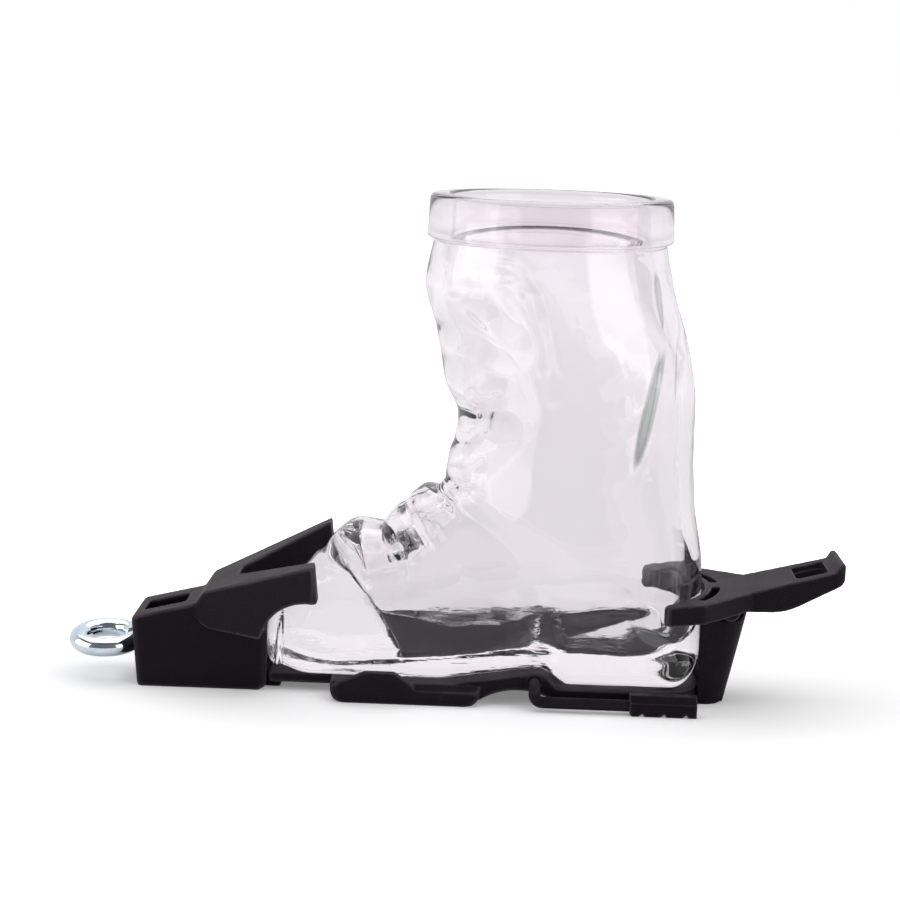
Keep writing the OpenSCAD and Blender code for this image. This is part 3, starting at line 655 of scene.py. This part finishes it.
@dataclass(frozen=True)
class Stroke:
    """A raised or sunken stroke of the shell along a line of points in side view.

    Places across are shares of the neck's radius, and heights are shares of the leg above the fold.
    """

    line: tuple[Pair, ...]
    width: float
    height: float
    edge: float = 2.0

    def rise(self, p: np.ndarray, scale: np.ndarray, start: np.ndarray) -> np.ndarray:
        """Height over the skin: the bell exp(-(d / width)^edge) of the distance d to the line.

        Args:
            p: Points in millimetres, last axis x, y, z.
            scale: Neck radius and leg height.
            start: Place of the shares' zero, x and z.

        Returns:
            Height in millimetres at each point.
        """
        q = p[..., [0, 2]]
        knots = np.array(self.line) * scale + start
        near = np.full(q.shape[:-1], np.inf)
        for first, last in zip(knots[:-1], knots[1:]):
            run = last - first
            t = np.clip(((q - first) @ run) / (run @ run), 0, 1)
            near = np.minimum(near, np.linalg.norm(q - first - t[..., None] * run, axis=-1))
        return self.height * np.exp(-((near / self.width) ** self.edge))


class Column(IntEnum):
    """Columns of a station after its front and back ends, which are two columns each."""

    HALF = 4
    ROUND_FRONT = 5
    ROUND_BACK = 6
    TUCK = 7
    WALL_FRONT = 8
    WALL_BACK = 9
    WALL_SIDE = 10
    KEEL = 11
    KEEL_END = 12


FRONT = slice(0, 2)
BACK = slice(2, 4)


@dataclass
class GlassBoot:
    """The glass: a loft through stations from the rim to the toe, with its cavity."""

    glass_h: float = 78.5
    rim_r: float = 19.4
    rim_bead: float = 0.36
    collar_h: float = 7.0
    collar_step: float = 0.8
    collar_rounds: tuple[float, float, float] = (0.55, 0.9, 1.0)
    wall_t: float = 2.7
    heel_wall: float = 2.3
    heel_round: float = 4.6
    floor_t: float = 5.5
    keel_d: float = 1.8
    toe_reach: float = 44.4
    toe_z: float = 5.6
    foot_x: float = 20.0
    foot_l: float = 24.4
    heel_reach: float = 27.1
    instep_h: float = 31.0
    ball_hw: float = 12.4
    heel_hw: float = 12.6
    cuff_fold: float = 2.2
    arch_h: float = 2.6
    arch_x: float = 0.8
    arch_run: tuple[Pair, ...] = ((-15.8, 0.0), (-9.8, 0.42), (0.0, 1.0), (0.4, 1.0), (4.2, 0.0))
    arch_reach: Pair = (7.0, 24.0)
    sole_z: float = 3.3
    cave_tip: Pair = (12.5, 12.5)
    last_in: int = 13
    steps: int = 14
    nose_rows: tuple[int, int] = (22, 18)
    seg: int = 206
    strokes: tuple[Stroke, ...] = ()
    cave_strokes: tuple[Stroke, ...] = ()
    shoulder: tuple[tuple[float, float, float, float], ...] = (
        (-3.0, 17.4, 8.4, 0.0), (1.5, 17.4, 9.8, 0.3), (7.0, 17.4, 11.6, 0.45), (14.0, 17.4, 13.9, 0.4),
        (19.0, 17.4, 15.6, 0.0))

    @property
    def rim_z(self) -> float:
        """Height of the rim."""
        return self.sole_z + self.glass_h

    @property
    def neck_z(self) -> float:
        """Height of the neck under the collar."""
        return self.rim_z - self.collar_h

    @property
    def neck_r(self) -> float:
        """Radius of the neck under the collar."""
        return self.rim_r - self.collar_step

    @property
    def turns(self) -> np.ndarray:
        """Angles of a ring's points."""
        return 2 * np.pi * np.arange(self.seg) / self.seg

    def forward(self, d: float) -> float:
        """Place of a foot station that keeps its share of the toe's length."""
        return -self.foot_x - d * (self.toe_reach - self.foot_x) / self.foot_l

    def stations(self) -> np.ndarray:
        """Stations from neck to toe.

        Returns:
            Rows of front x z, back x z, half width, roundness front and back, tuck, wall front, back, side,
            roundness of the cavity's keel, and how far the keel's end is drawn back.
        """
        r, w, fl, f = self.neck_r, self.wall_t, self.floor_t, self.forward
        nz, s, hr, ax = self.neck_z, self.sole_z, self.heel_reach, self.arch_x
        fz = s + self.instep_h
        leg = nz - fz
        b, h, ih, hw = self.ball_hw, self.heel_hw, self.instep_h, self.heel_wall
        deep, hc = fl - self.keel_d, hr - self.heel_round
        return np.array([
            [-r, nz, r, nz, r, 2, 2, 0, w, w, w, 2, 0],
            [-r - 1.2, nz - 0.18 * leg, r + 1.8, nz - 0.2 * leg, r + 0.2, 2, 2, 0, w + 0.3, w, w, 2, 0],
            [-r + 0.9, nz - 0.37 * leg, hr - 4.1, nz - 0.41 * leg, r - 0.2, 2, 2, 0, w + 0.2, w, w, 2, 0],
            [-r + 2.7, nz - 0.585 * leg, hr - 2.6, nz - 0.63 * leg, r - 1.1, 2, 2, 0, w + 0.2, w, w, 2, 0],
            [-r + 2.5 + self.cuff_fold, nz - 0.715 * leg, hr - 2.5, nz - 0.815 * leg, r - 1.9,
             2, 2, 0, w, w + 0.1, w, 2, 0],
            [-r + 3.6, fz + 0.125 * leg, hr - 1.9, fz - 1.5, r - 3, 2, 2.1, 0, w, w + 0.3, w + 0.1, 2, 0],
            [-r + 2.6, fz + 0.7, hr - 0.2, s + 0.6 * ih, h + 1.6,
             2, 2.3, 0, w, w + 0.34 * hw, w + 0.2, 2, 0],
            [-r + 1.2, fz - 0.1, hr, s + 0.18 * ih, h + 0.4, 2, 2.5, 0.02, w + 0.2, w + hw, w + 0.3, 2, 0],
            [-r - 0.2, fz - 0.5, hc, s, h + 0.2, 2.1, 6.5, 0.12, w + 0.3, fl + hw, w + 0.4, 2, 0],
            [-r - 1.5, fz - 1.5, ax + 4.2, s, h, 2.1, 8, 0.16, w + 0.4, fl + 0.2, w + 0.5, 1.7, 0],
            [f(1.6), fz - 2.6, ax, s, b, 2.2, 8, 0.18, w + 0.4, fl - 0.5 * self.keel_d, w + 0.5, 1.4, 0],
            [f(4.2), fz - 5.3, ax - 9.8, s, b, 2.2, 8, 0.21, w + 0.5, deep, w + 0.6, 1.2, 0],
            [f(5.8), fz - 7.1, ax - 15.8, s, b, 2.3, 8, 0.24, w + 0.6, deep, w + 0.7, 1.15, 2],
            [f(9.6), fz - 6.7, f(6), s, b, 2.3, 8, 0.24, w + 1, deep, w + 1, 1.15, 5.5],
            [f(15), fz - 10.9, f(16.2), s, b - 0.5, 2.3, 7, 0.2, w, fl, w, 1.15, 4],
            [f(20.8), fz - 17.5, f(21.4), s + 0.7, b - 3.9, 2.3, 4.5, 0.1, w, fl, w, 1.15, 4],
        ])

    @staticmethod
    def smooth(table: np.ndarray, steps: int) -> np.ndarray:
        """Monotone cubic run through the stations: slopes are harmonic means, 0 at a turn.

        Args:
            table: Stations, one row each.
            steps: Rows made for each stretch.

        Returns:
            The finer table, without the last station.
        """
        d = np.diff(table, axis=0)
        both = d[:-1] * d[1:]
        total = np.where(both > 0, d[:-1] + d[1:], 1.0)
        slope = np.concatenate([d[:1], np.where(both > 0, 2 * both / total, 0.0), d[-1:]])
        t = (np.arange(steps) / steps)[None, :, None]
        run = (table[:-1, None] * (2 * t**3 - 3 * t**2 + 1) + slope[:-1, None] * (t**3 - 2 * t**2 + t)
               + table[1:, None] * (3 * t**2 - 2 * t**3) + slope[1:, None] * (t**3 - t**2))
        return run.reshape(-1, table.shape[1])

    @staticmethod
    def chords(rows: np.ndarray) -> tuple[np.ndarray, np.ndarray]:
        """Middles of the chords from front to back, and half of each chord."""
        return (rows[..., FRONT] + rows[..., BACK]) / 2, (rows[..., FRONT] - rows[..., BACK]) / 2

    def rings(self, rows: np.ndarray) -> np.ndarray:
        """Closed sections: a superellipse across each chord, narrower toward the sole by the tuck.

        Args:
            rows: Station rows.

        Returns:
            Points, shape (rows, seg, 3).
        """
        c, s = np.cos(self.turns)[None], np.sin(self.turns)[None]
        n = np.where(c >= 0, rows[:, Column.ROUND_FRONT, None], rows[:, Column.ROUND_BACK, None])
        along = np.sign(c) * np.abs(c) ** (2 / n)
        wide = np.sign(s) * np.abs(s) ** (2 / n)
        mid, half = self.chords(rows)
        y = rows[:, Column.HALF, None] * wide
        y *= np.where(c < 0, 1 - rows[:, Column.TUCK, None] * along**2, 1.0)
        return np.stack([mid[:, :1] + half[:, :1] * along, y, mid[:, 1:] + half[:, 1:] * along], -1)

    def nose(self, row: np.ndarray, tip: np.ndarray, count: int) -> np.ndarray:
        """Rows that close a section toward a point: it moves by the sine and shrinks by the cosine.

        Args:
            row: The last station.
            tip: The point, x and z.
            count: Number of rows.

        Returns:
            The rows, for angles from 0 to just under a right angle.
        """
        angles = np.radians(np.linspace(0, 89, count))[:, None]
        s, c = np.sin(angles), np.cos(angles)
        mid, half = self.chords(row)
        out = np.repeat(row[None], count, 0)
        centre = mid + (tip - mid) * s
        out[:, FRONT], out[:, BACK] = centre + half * c, centre - half * c
        out[:, Column.HALF] = row[Column.HALF] * c[:, 0]
        return out

    @staticmethod
    def inside(rows: np.ndarray) -> np.ndarray:
        """Rows of the cavity: each chord loses its walls and each width its side walls."""
        chord = rows[:, BACK] - rows[:, FRONT]
        unit = chord / np.linalg.norm(chord, axis=1, keepdims=True)
        out = rows.copy()
        out[:, FRONT] += unit * rows[:, Column.WALL_FRONT, None]
        out[:, BACK] -= unit * rows[:, Column.WALL_BACK, None]
        out[:, BACK.start] += rows[:, Column.KEEL_END]
        out[:, Column.HALF] -= rows[:, Column.WALL_SIDE]
        out[:, Column.ROUND_FRONT] = 2.0
        out[:, Column.ROUND_BACK] = rows[:, Column.KEEL]
        out[:, Column.TUCK] = 0.0
        return out

    def level(self, profile: np.ndarray) -> np.ndarray:
        """Level circles about the leg's axis from a profile of radius and height."""
        r, z = profile[:, :1], profile[:, 1:]
        return np.stack([-r * np.cos(self.turns), r * np.sin(self.turns), z + 0 * self.turns], -1)

    @staticmethod
    def outward(grid: np.ndarray) -> np.ndarray:
        """Unit normals of a ring stack from differences along and around it."""
        along = np.gradient(grid, axis=0)
        around = np.roll(grid, -1, 1) - np.roll(grid, 1, 1)
        n = np.cross(along, around)
        n /= np.linalg.norm(n, axis=-1, keepdims=True) + 1e-9
        middle = grid.mean(1, keepdims=True)
        return n * np.sign(np.sum(n * (grid - middle), -1, keepdims=True).mean())

    def drawn(self, strokes: Sequence[Stroke], skin: np.ndarray) -> np.ndarray:
        """Push a skin out by its strokes: by the tallest rise plus the deepest groove at each point.

        Args:
            strokes: Strokes on the skin.
            skin: Points of the skin, a stack of rings.

        Returns:
            The moved points.
        """
        fold = self.sole_z + self.instep_h
        scale, start = np.array([self.neck_r, self.neck_z - fold]), np.array([0.0, fold])
        each = np.array([stroke.rise(skin, scale, start) for stroke in strokes])
        height = np.maximum(each.max(0), 0) + np.minimum(each.min(0), 0)
        return skin + self.outward(skin) * height[..., None]

    def arched(self, p: np.ndarray, reach: float) -> np.ndarray:
        """Lift the sole along the arch; the lift fades out to nothing a reach above the sole.

        Args:
            p: Points of a skin.
            reach: Height over the sole that still moves.

        Returns:
            The moved points.
        """
        places, shares = np.array(self.arch_run).T
        fine = np.linspace(self.arch_x + places[0], self.arch_x + places[-1], 160)
        plain = np.interp(fine, self.arch_x + places, self.arch_h * shares)
        bell = np.hanning(27)[1:-1]
        soft = np.convolve(np.pad(plain, len(bell) // 2, mode="edge"), bell / bell.sum(), "valid")
        lift = np.interp(p[..., 0], fine, soft, 0.0, 0.0)
        share = np.clip((p[..., 2] - self.sole_z) / reach, 0, 1)
        out = p.copy()
        out[..., 2] += lift * (1 - share) ** 2 * (1 + 2 * share)
        return out

    def shouldered(self, p: np.ndarray) -> np.ndarray:
        """Narrow the cavity's heel below a slanted shoulder.

        The half width falls by a smooth step from the shoulder's upper edge to its lower edge. The heights
        of both edges and the fall change along the length.

        Args:
            p: Points of the cavity's skin.

        Returns:
            The moved points.
        """
        place, *edges = np.array(self.shoulder).T
        top, low, fall = (np.interp(p[..., 0], place, edge) for edge in edges)
        step = np.clip((top - p[..., 2]) / (top - low), 0, 1)
        out = p.copy()
        out[..., 1] *= 1 - fall * step * step * (3 - 2 * step)
        return out

    def collar(self) -> np.ndarray:
        """Profile of the collar and lip: rounded lower edge, rim and mouth, then a straight bore.

        Returns:
            Rows of radius and height.
        """
        under, over, lip = self.collar_rounds
        mouth, top, low = self.neck_r - self.wall_t, self.rim_z, self.neck_z
        return np.concatenate([
            arc_points((self.rim_r + self.rim_bead - under, low + under), under, -90, 0, 8),
            arc_points((self.rim_r + 0.05 - over, top - over), over, 3, 90, 10),
            arc_points((mouth + lip, top - lip), lip, 90, 175, 10),
            [[mouth + 0.02, top - 2.4], [mouth, top - 4.0], [mouth, low + 1.0]],
        ])

    def build(self, shift: float) -> Object:
        """Make the closed skin: toe, foot, leg, collar, lip and cavity in one stack of rings.

        Args:
            shift: Millimetres from the drawing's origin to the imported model's origin.

        Returns:
            The glass object.
        """
        table = self.stations()
        rows = self.smooth(table, self.steps)
        tip = np.array([-self.toe_reach, self.sole_z + self.toe_z])
        outer = self.rings(np.concatenate([rows, self.nose(table[-1], tip, self.nose_rows[0])]))
        outer = self.drawn(self.strokes, self.arched(outer, self.arch_reach[0]))
        ahead, above = self.cave_tip
        cave_tip = np.array([self.forward(ahead), self.sole_z + self.floor_t + above])
        cave_row = self.inside(table[self.last_in:self.last_in + 1])[0]
        cave_rows = self.inside(rows[:self.last_in * self.steps])
        cave = self.rings(np.concatenate([cave_rows, self.nose(cave_row, cave_tip, self.nose_rows[1])]))
        cave = self.drawn(self.cave_strokes, self.shouldered(self.arched(cave, self.arch_reach[1])))
        stack = np.concatenate([outer[::-1], self.level(self.collar()), cave])
        obj = capped_stack("glass_boot_shell", (stack + np.array([shift, 0.0, 0.0])) * MM)
        obj.visible_shadow = False
        return obj


# Binding


@dataclass
class MouldedPiece:
    """A moulded piece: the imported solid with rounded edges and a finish.

    The grid is the spacing of its skin. In each of the rounds every point moves halfway to the mean of its
    neighbours. The skin swells and shrinks again by close, which shuts narrow gaps.
    """

    node: str
    body: Body
    slot: Slot
    grid: float
    rounds: int
    close: float = 0.0

    def merged(self) -> bpy.types.Mesh:
        """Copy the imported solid's mesh and merge its loose triangles."""
        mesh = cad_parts[self.node].data.copy()
        work = bmesh.new()
        work.from_mesh(mesh)
        bmesh.ops.remove_doubles(work, verts=work.verts, dist=0.002 * MM)
        work.to_mesh(mesh)
        work.free()
        return mesh

    def build(self) -> Object:
        """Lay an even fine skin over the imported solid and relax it, so that its edges come out rounded.

        Returns:
            The new piece, smooth-shaded, with no modifier left on it.
        """
        name = self.node + "_moulding"
        obj = link(name, self.merged())
        for swell in ((self.close, -self.close) if self.close else (0.0,)):
            skin = obj.modifiers.new("skin", "REMESH")
            skin.mode = "VOXEL"
            skin.voxel_size = self.grid * MM
            if swell:
                push = obj.modifiers.new("swell", "DISPLACE")
                push.mid_level = 0.0
                push.strength = swell * MM
        relax = obj.modifiers.new("relax", "SMOOTH")
        relax.factor = 0.5
        relax.iterations = self.rounds
        done = bpy.data.meshes.new_from_object(obj.evaluated_get(bpy.context.evaluated_depsgraph_get()))
        obj.modifiers.clear()
        obj.data = done
        done.name = name
        done.polygons.foreach_set("use_smooth", np.ones(len(done.polygons), bool))
        LOG.info("moulding %s has %d faces", name, len(done.polygons))
        return obj


@dataclass
class EyeScrew:
    """Bent wire eye on a shank."""

    wire_r: float = 1.55
    ring_r: float = 4.55
    ring_z: float = 6.2
    shank_r: float = 1.15
    tilt: float = 6.0
    neck: float = 2.5
    neck_pull: float = 1.9
    ring_pull: float = 0.9
    taper: Pair = (1.2, 2.2)
    loop: Pair = (-20.0, -344.0)
    samples: tuple[int, int, int] = (24, 14, 120)
    seg: int = 36

    def build(self) -> Object:
        """Carry a circle along the shank, round the neck bend, a cubic curve, and about the ring.

        Returns:
            The eye screw.
        """
        low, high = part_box("eye_screw")
        centre = np.array([low.x / MM + self.ring_r + self.wire_r, 0.0, self.ring_z])
        neck_x = self.ring_r + self.neck
        on_shank, on_bend, on_ring = self.samples
        along = np.linspace(high.x / MM - centre[0], neck_x + 0.1, on_shank)
        shank = np.stack([along, 0 * along], -1)
        begin = math.radians(self.loop[0])
        p0, p3 = np.array([neck_x, 0.0]), self.ring_r * np.array([math.cos(begin), math.sin(begin)])
        p1 = p0 - np.array([self.neck_pull, 0.0])
        p2 = p3 - self.ring_pull * np.array([math.sin(begin), -math.cos(begin)])
        t = np.linspace(0.04, 0.96, on_bend)[:, None]
        bend = (1 - t) ** 3 * p0 + 3 * (1 - t) ** 2 * t * p1 + 3 * (1 - t) * t**2 * p2 + t**3 * p3
        flat = np.concatenate([shank, bend, arc_points((0, 0), self.ring_r, *self.loop, on_ring)])
        a = math.radians(self.tilt)
        path = np.stack([flat[:, 0], flat[:, 1] * math.cos(a), flat[:, 1] * math.sin(a)], -1) + centre
        thick = np.interp(flat[:, 0], self.ring_r + np.array(self.taper), [self.wire_r, self.shank_r])
        thick[on_shank + on_bend:] = self.wire_r
        return sweep_tube("eye_screw_wire", path * MM, thick * MM, self.seg)


# Studio


@dataclass
class Lamp:
    """A soft rectangular lamp aimed at the object, in metres and watts."""

    name: str
    place: Point
    aim: Point
    size: Pair
    watts: float
    seen_through: bool = True

    def build(self) -> None:
        """Make the area lamp and turn it toward its aim."""
        data = bpy.data.lights.new(self.name, "AREA")
        data.shape = "RECTANGLE"
        data.size, data.size_y = self.size
        data.energy = self.watts
        obj = link(self.name, data)
        obj.visible_transmission = self.seen_through
        obj.location = self.place
        obj.rotation_euler = (Vector(self.aim) - Vector(self.place)).to_track_quat("-Z", "Y").to_euler()


@dataclass
class Studio:
    """White sweep, soft lamps and the camera of the picture."""

    lens: float = 80.83
    clip: Pair = (0.01, 50.0)
    eye: Point = (-8.449, -324.533, 99.418)
    right: Point = (0.99917, 0.02596, 0.03124)
    up: Point = (-0.03540, 0.17941, 0.98314)
    forward: Point = (-0.01991, 0.98343, -0.18018)
    lamps: tuple[Lamp, ...] = (
        Lamp("left_softbox", (-0.60, -0.16, 0.20), (0.0, 0.0, 0.05), (0.6, 0.45), 1.9),
        Lamp("right_softbox", (0.56, -0.32, 0.20), (0.0, 0.0, 0.05), (0.6, 0.45), 1.6),
        Lamp("top_softbox", (0.0, 0.2, 0.8), (0.0, 0.0, 0.0), (1.3, 1.0), 6.6, False),
    )
    soft_light: Colour = (0.25, 0.2425, 0.25)
    room: Stops = ((0.0, (0.16, 0.155, 0.165)), (0.42, (0.20, 0.205, 0.20)),
                   (0.62, (0.72, 0.69, 0.72)), (0.85, (0.95, 0.915, 0.945)))
    floor_half: float = 4.0

    def camera(self, shift: float) -> None:
        """Place the camera from its eye point and axes.

        Args:
            shift: Millimetres from the drawing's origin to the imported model's origin.
        """
        data = bpy.data.cameras.new("picture_camera")
        data.lens = self.lens
        data.clip_start, data.clip_end = self.clip
        obj = link("picture_camera", data)
        place = (Vector(self.eye) + Vector((shift, 0, 0))) * MM
        axes = Matrix((self.right, self.up, -Vector(self.forward))).transposed()
        obj.matrix_world = Matrix.Translation(place) @ axes.to_4x4()
        bpy.context.scene.camera = obj

    def world(self) -> None:
        """White surroundings for direct looks, a room in mirrors and glass, dim soft light for the rest.

        The room is dark before the object and light behind it, and it darkens toward the top.
        """
        world = bpy.data.worlds.new("white_room")
        bpy.context.scene.world = world
        world.use_nodes = True
        sheet = NodeSheet(world.node_tree)
        direct, bent = sheet.looks()
        way = sheet.split(sheet.add("ShaderNodeTexCoord").outputs["Generated"])
        lowered = sheet.math("MULTIPLY_ADD", sheet.math("MAXIMUM", way.outputs["Z"], 0.4), -0.5, 0.2)
        back = sheet.math("ADD", sheet.math("MULTIPLY_ADD", way.outputs["Y"], 0.5, 0.5), lowered)
        colour = sheet.mix(bent, (*self.soft_light, 1.0), sheet.ramp(back, self.room))
        light = sheet.add("ShaderNodeBackground")
        sheet.join(sheet.mix(direct, colour, (1.0, 1.0, 1.0, 1.0)), light.inputs["Color"])
        sheet.join(light.outputs[0], sheet.add("ShaderNodeOutputWorld").inputs["Surface"])

    def floor(self) -> None:
        """Lay the white floor: a grid of two by two squares."""
        side = np.linspace(-self.floor_half, self.floor_half, 3)
        x, y = np.meshgrid(side, side, indexing="ij")
        points = np.stack([x, y, 0 * x], -1).reshape(-1, 3)
        corner = np.array([0, 1, 3, 4])[:, None]
        obj = put_mesh("floor_sweep", points, [corner + np.array([0, 3, 4, 1])])
        obj.data.materials.append(WhiteSweep("white_sweep").material())

    def build(self, shift: float) -> None:
        """Make the floor, the world, the lamps and the camera."""
        bpy.context.scene.view_settings.view_transform = "Standard"
        self.floor()
        self.world()
        for lamp in self.lamps:
            lamp.build()
        self.camera(shift)


# Folds of the leg, the instep, the toe, the back of the leg and the welt
BOOT_RELIEF = (
    Stroke(((-0.6, 0.765), (-0.23, 0.62)), 2.2, 0.36, 2.8),
    Stroke(((-0.83, 0.61), (-0.39, 0.555)), 1.9, 0.34, 2.8),
    Stroke(((-0.71, 0.47), (-0.48, 0.46)), 3.0, 0.4, 2.8),
    Stroke(((-0.81, 0.36), (-0.56, 0.366), (-0.39, 0.42)), 0.9, -0.1),
    Stroke(((-0.59, 0.894), (-0.35, 0.884), (-0.156, 0.82), (-0.043, 0.64), (0.048, 0.427)), 1.2, 0.22),
    Stroke(((-0.421, 0.83), (-0.264, 0.726), (-0.205, 0.62)), 0.8, 0.15),
    Stroke(((-0.8, 0.822), (-0.34, 0.827)), 1.3, 0.16, 2.6),
    Stroke(((-0.643, 0.752), (-0.534, 0.732)), 0.7, 0.2),
    Stroke(((-0.59, 0.311), (-0.35, 0.296)), 2.0, 0.26, 2.6),
    Stroke(((-0.709, 0.332), (-0.589, 0.334)), 0.8, -0.3),
    Stroke(((-0.732, 0.189), (-0.581, 0.239)), 1.0, -0.45),
    Stroke(((-0.807, 0.026), (-0.722, 0.036)), 0.8, -0.4),
    Stroke(((-0.652, 0.055), (-0.584, 0.056)), 0.7, -0.3),
    Stroke(((-0.62, 0.131), (-0.42, 0.131)), 4.4, 0.4, 2.6),
    Stroke(((-1.237, -0.2), (-0.978, -0.062)), 3.0, 0.6, 4.0),
    Stroke(((-1.222, -0.051), (-0.965, -0.205)), 0.9, -0.5),
    Stroke(((-1.025, 0.026), (-0.774, -0.033)), 0.8, -0.5),
    Stroke(((-1.172, -0.135), (-0.816, -0.076)), 0.9, 0.7),
    Stroke(((-1.467, -0.312), (-1.134, -0.265)), 0.9, -0.45),
    Stroke(((-2.023, -0.274), (-1.62, -0.309), (-1.504, -0.381)), 0.9, -0.5),
    Stroke(((-1.667, -0.23), (-1.505, -0.215)), 4.0, 0.4, 4.0),
    Stroke(((0.903, 0.909), (0.88, 0.657), (0.774, 0.469), (0.656, 0.24)), 1.8, -0.08),
    Stroke(((-1.661, -0.336), (-1.484, -0.442), (-1.177, -0.486), (-0.876, -0.514), (-0.489, -0.49),
            (-0.231, -0.489), (-0.059, -0.528)), 0.7, -0.2),
    Stroke(((-2.189, -0.648), (-1.737, -0.683), (-1.198, -0.662), (-0.661, -0.631),
            (-0.081, -0.589)), 0.6, -0.3),
    Stroke(((0.12, -0.586), (0.681, -0.608), (1.127, -0.6)), 0.6, -0.2),
)

# One soft ridge along the cavity's side over the keel
CAVE_RELIEF = (
    Stroke(((-1.268, -0.473), (-0.764, -0.533), (-0.311, -0.521), (0.047, -0.46),
            (0.408, -0.443)), 0.7, 0.2),
)

MOULDINGS = (
    MouldedPiece("toe_piece", Body.BINDING, Slot.BLACK, 0.23, 9),
    MouldedPiece("base_plate", Body.BINDING, Slot.BASE, 0.23, 6),
    MouldedPiece("heel_post", Body.BINDING, Slot.BLACK, 0.13, 9, 0.75),
    MouldedPiece("heel_lever", Body.LEVER, Slot.BLACK, 0.16, 8),
    MouldedPiece("brake_foot_left", Body.BINDING, Slot.BRAKE, 0.11, 4),
    MouldedPiece("brake_foot_right", Body.BINDING, Slot.BRAKE, 0.11, 4),
    MouldedPiece("brake_arm_left", Body.BINDING, Slot.BRAKE, 0.14, 3),
    MouldedPiece("brake_arm_right", Body.BINDING, Slot.BRAKE, 0.14, 3),
)

STEEL_NODES = ("lever_pin", "toe_screws", "heel_screw")


def main() -> None:
    """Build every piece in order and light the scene."""
    logging.basicConfig(level=logging.INFO)
    glass = GlassBoot(strokes=BOOT_RELIEF, cave_strokes=CAVE_RELIEF)
    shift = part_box("glass_boot")[0].x / MM + glass.toe_reach
    clear = ClearGlass("clear_glass", shift).material()
    settle(glass.build(shift), Body.BOOT, clear, "glass_boot")
    plastics = {
        Slot.BLACK: GrainedPlastic("black_plastic").material(),
        Slot.BASE: GrainedPlastic("base_plastic", cells=4600.0, gloss=0.1).material(),
        Slot.BRAKE: GrainedPlastic("brake_plastic", cells=5600.0, depth=0.05).material(),
    }
    for piece in MOULDINGS:
        settle(piece.build(), piece.body, plastics[piece.slot], piece.node)
    zinc = ZincPlate("zinc_plate").material()
    settle(EyeScrew().build(), Body.BINDING, zinc, "eye_screw")
    steel = PlainSteel("plain_steel").material()
    for node in STEEL_NODES:
        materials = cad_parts[node].data.materials
        materials.clear()
        materials.append(steel)
    Studio().build(shift)


if __name__ == "__main__":
    main()
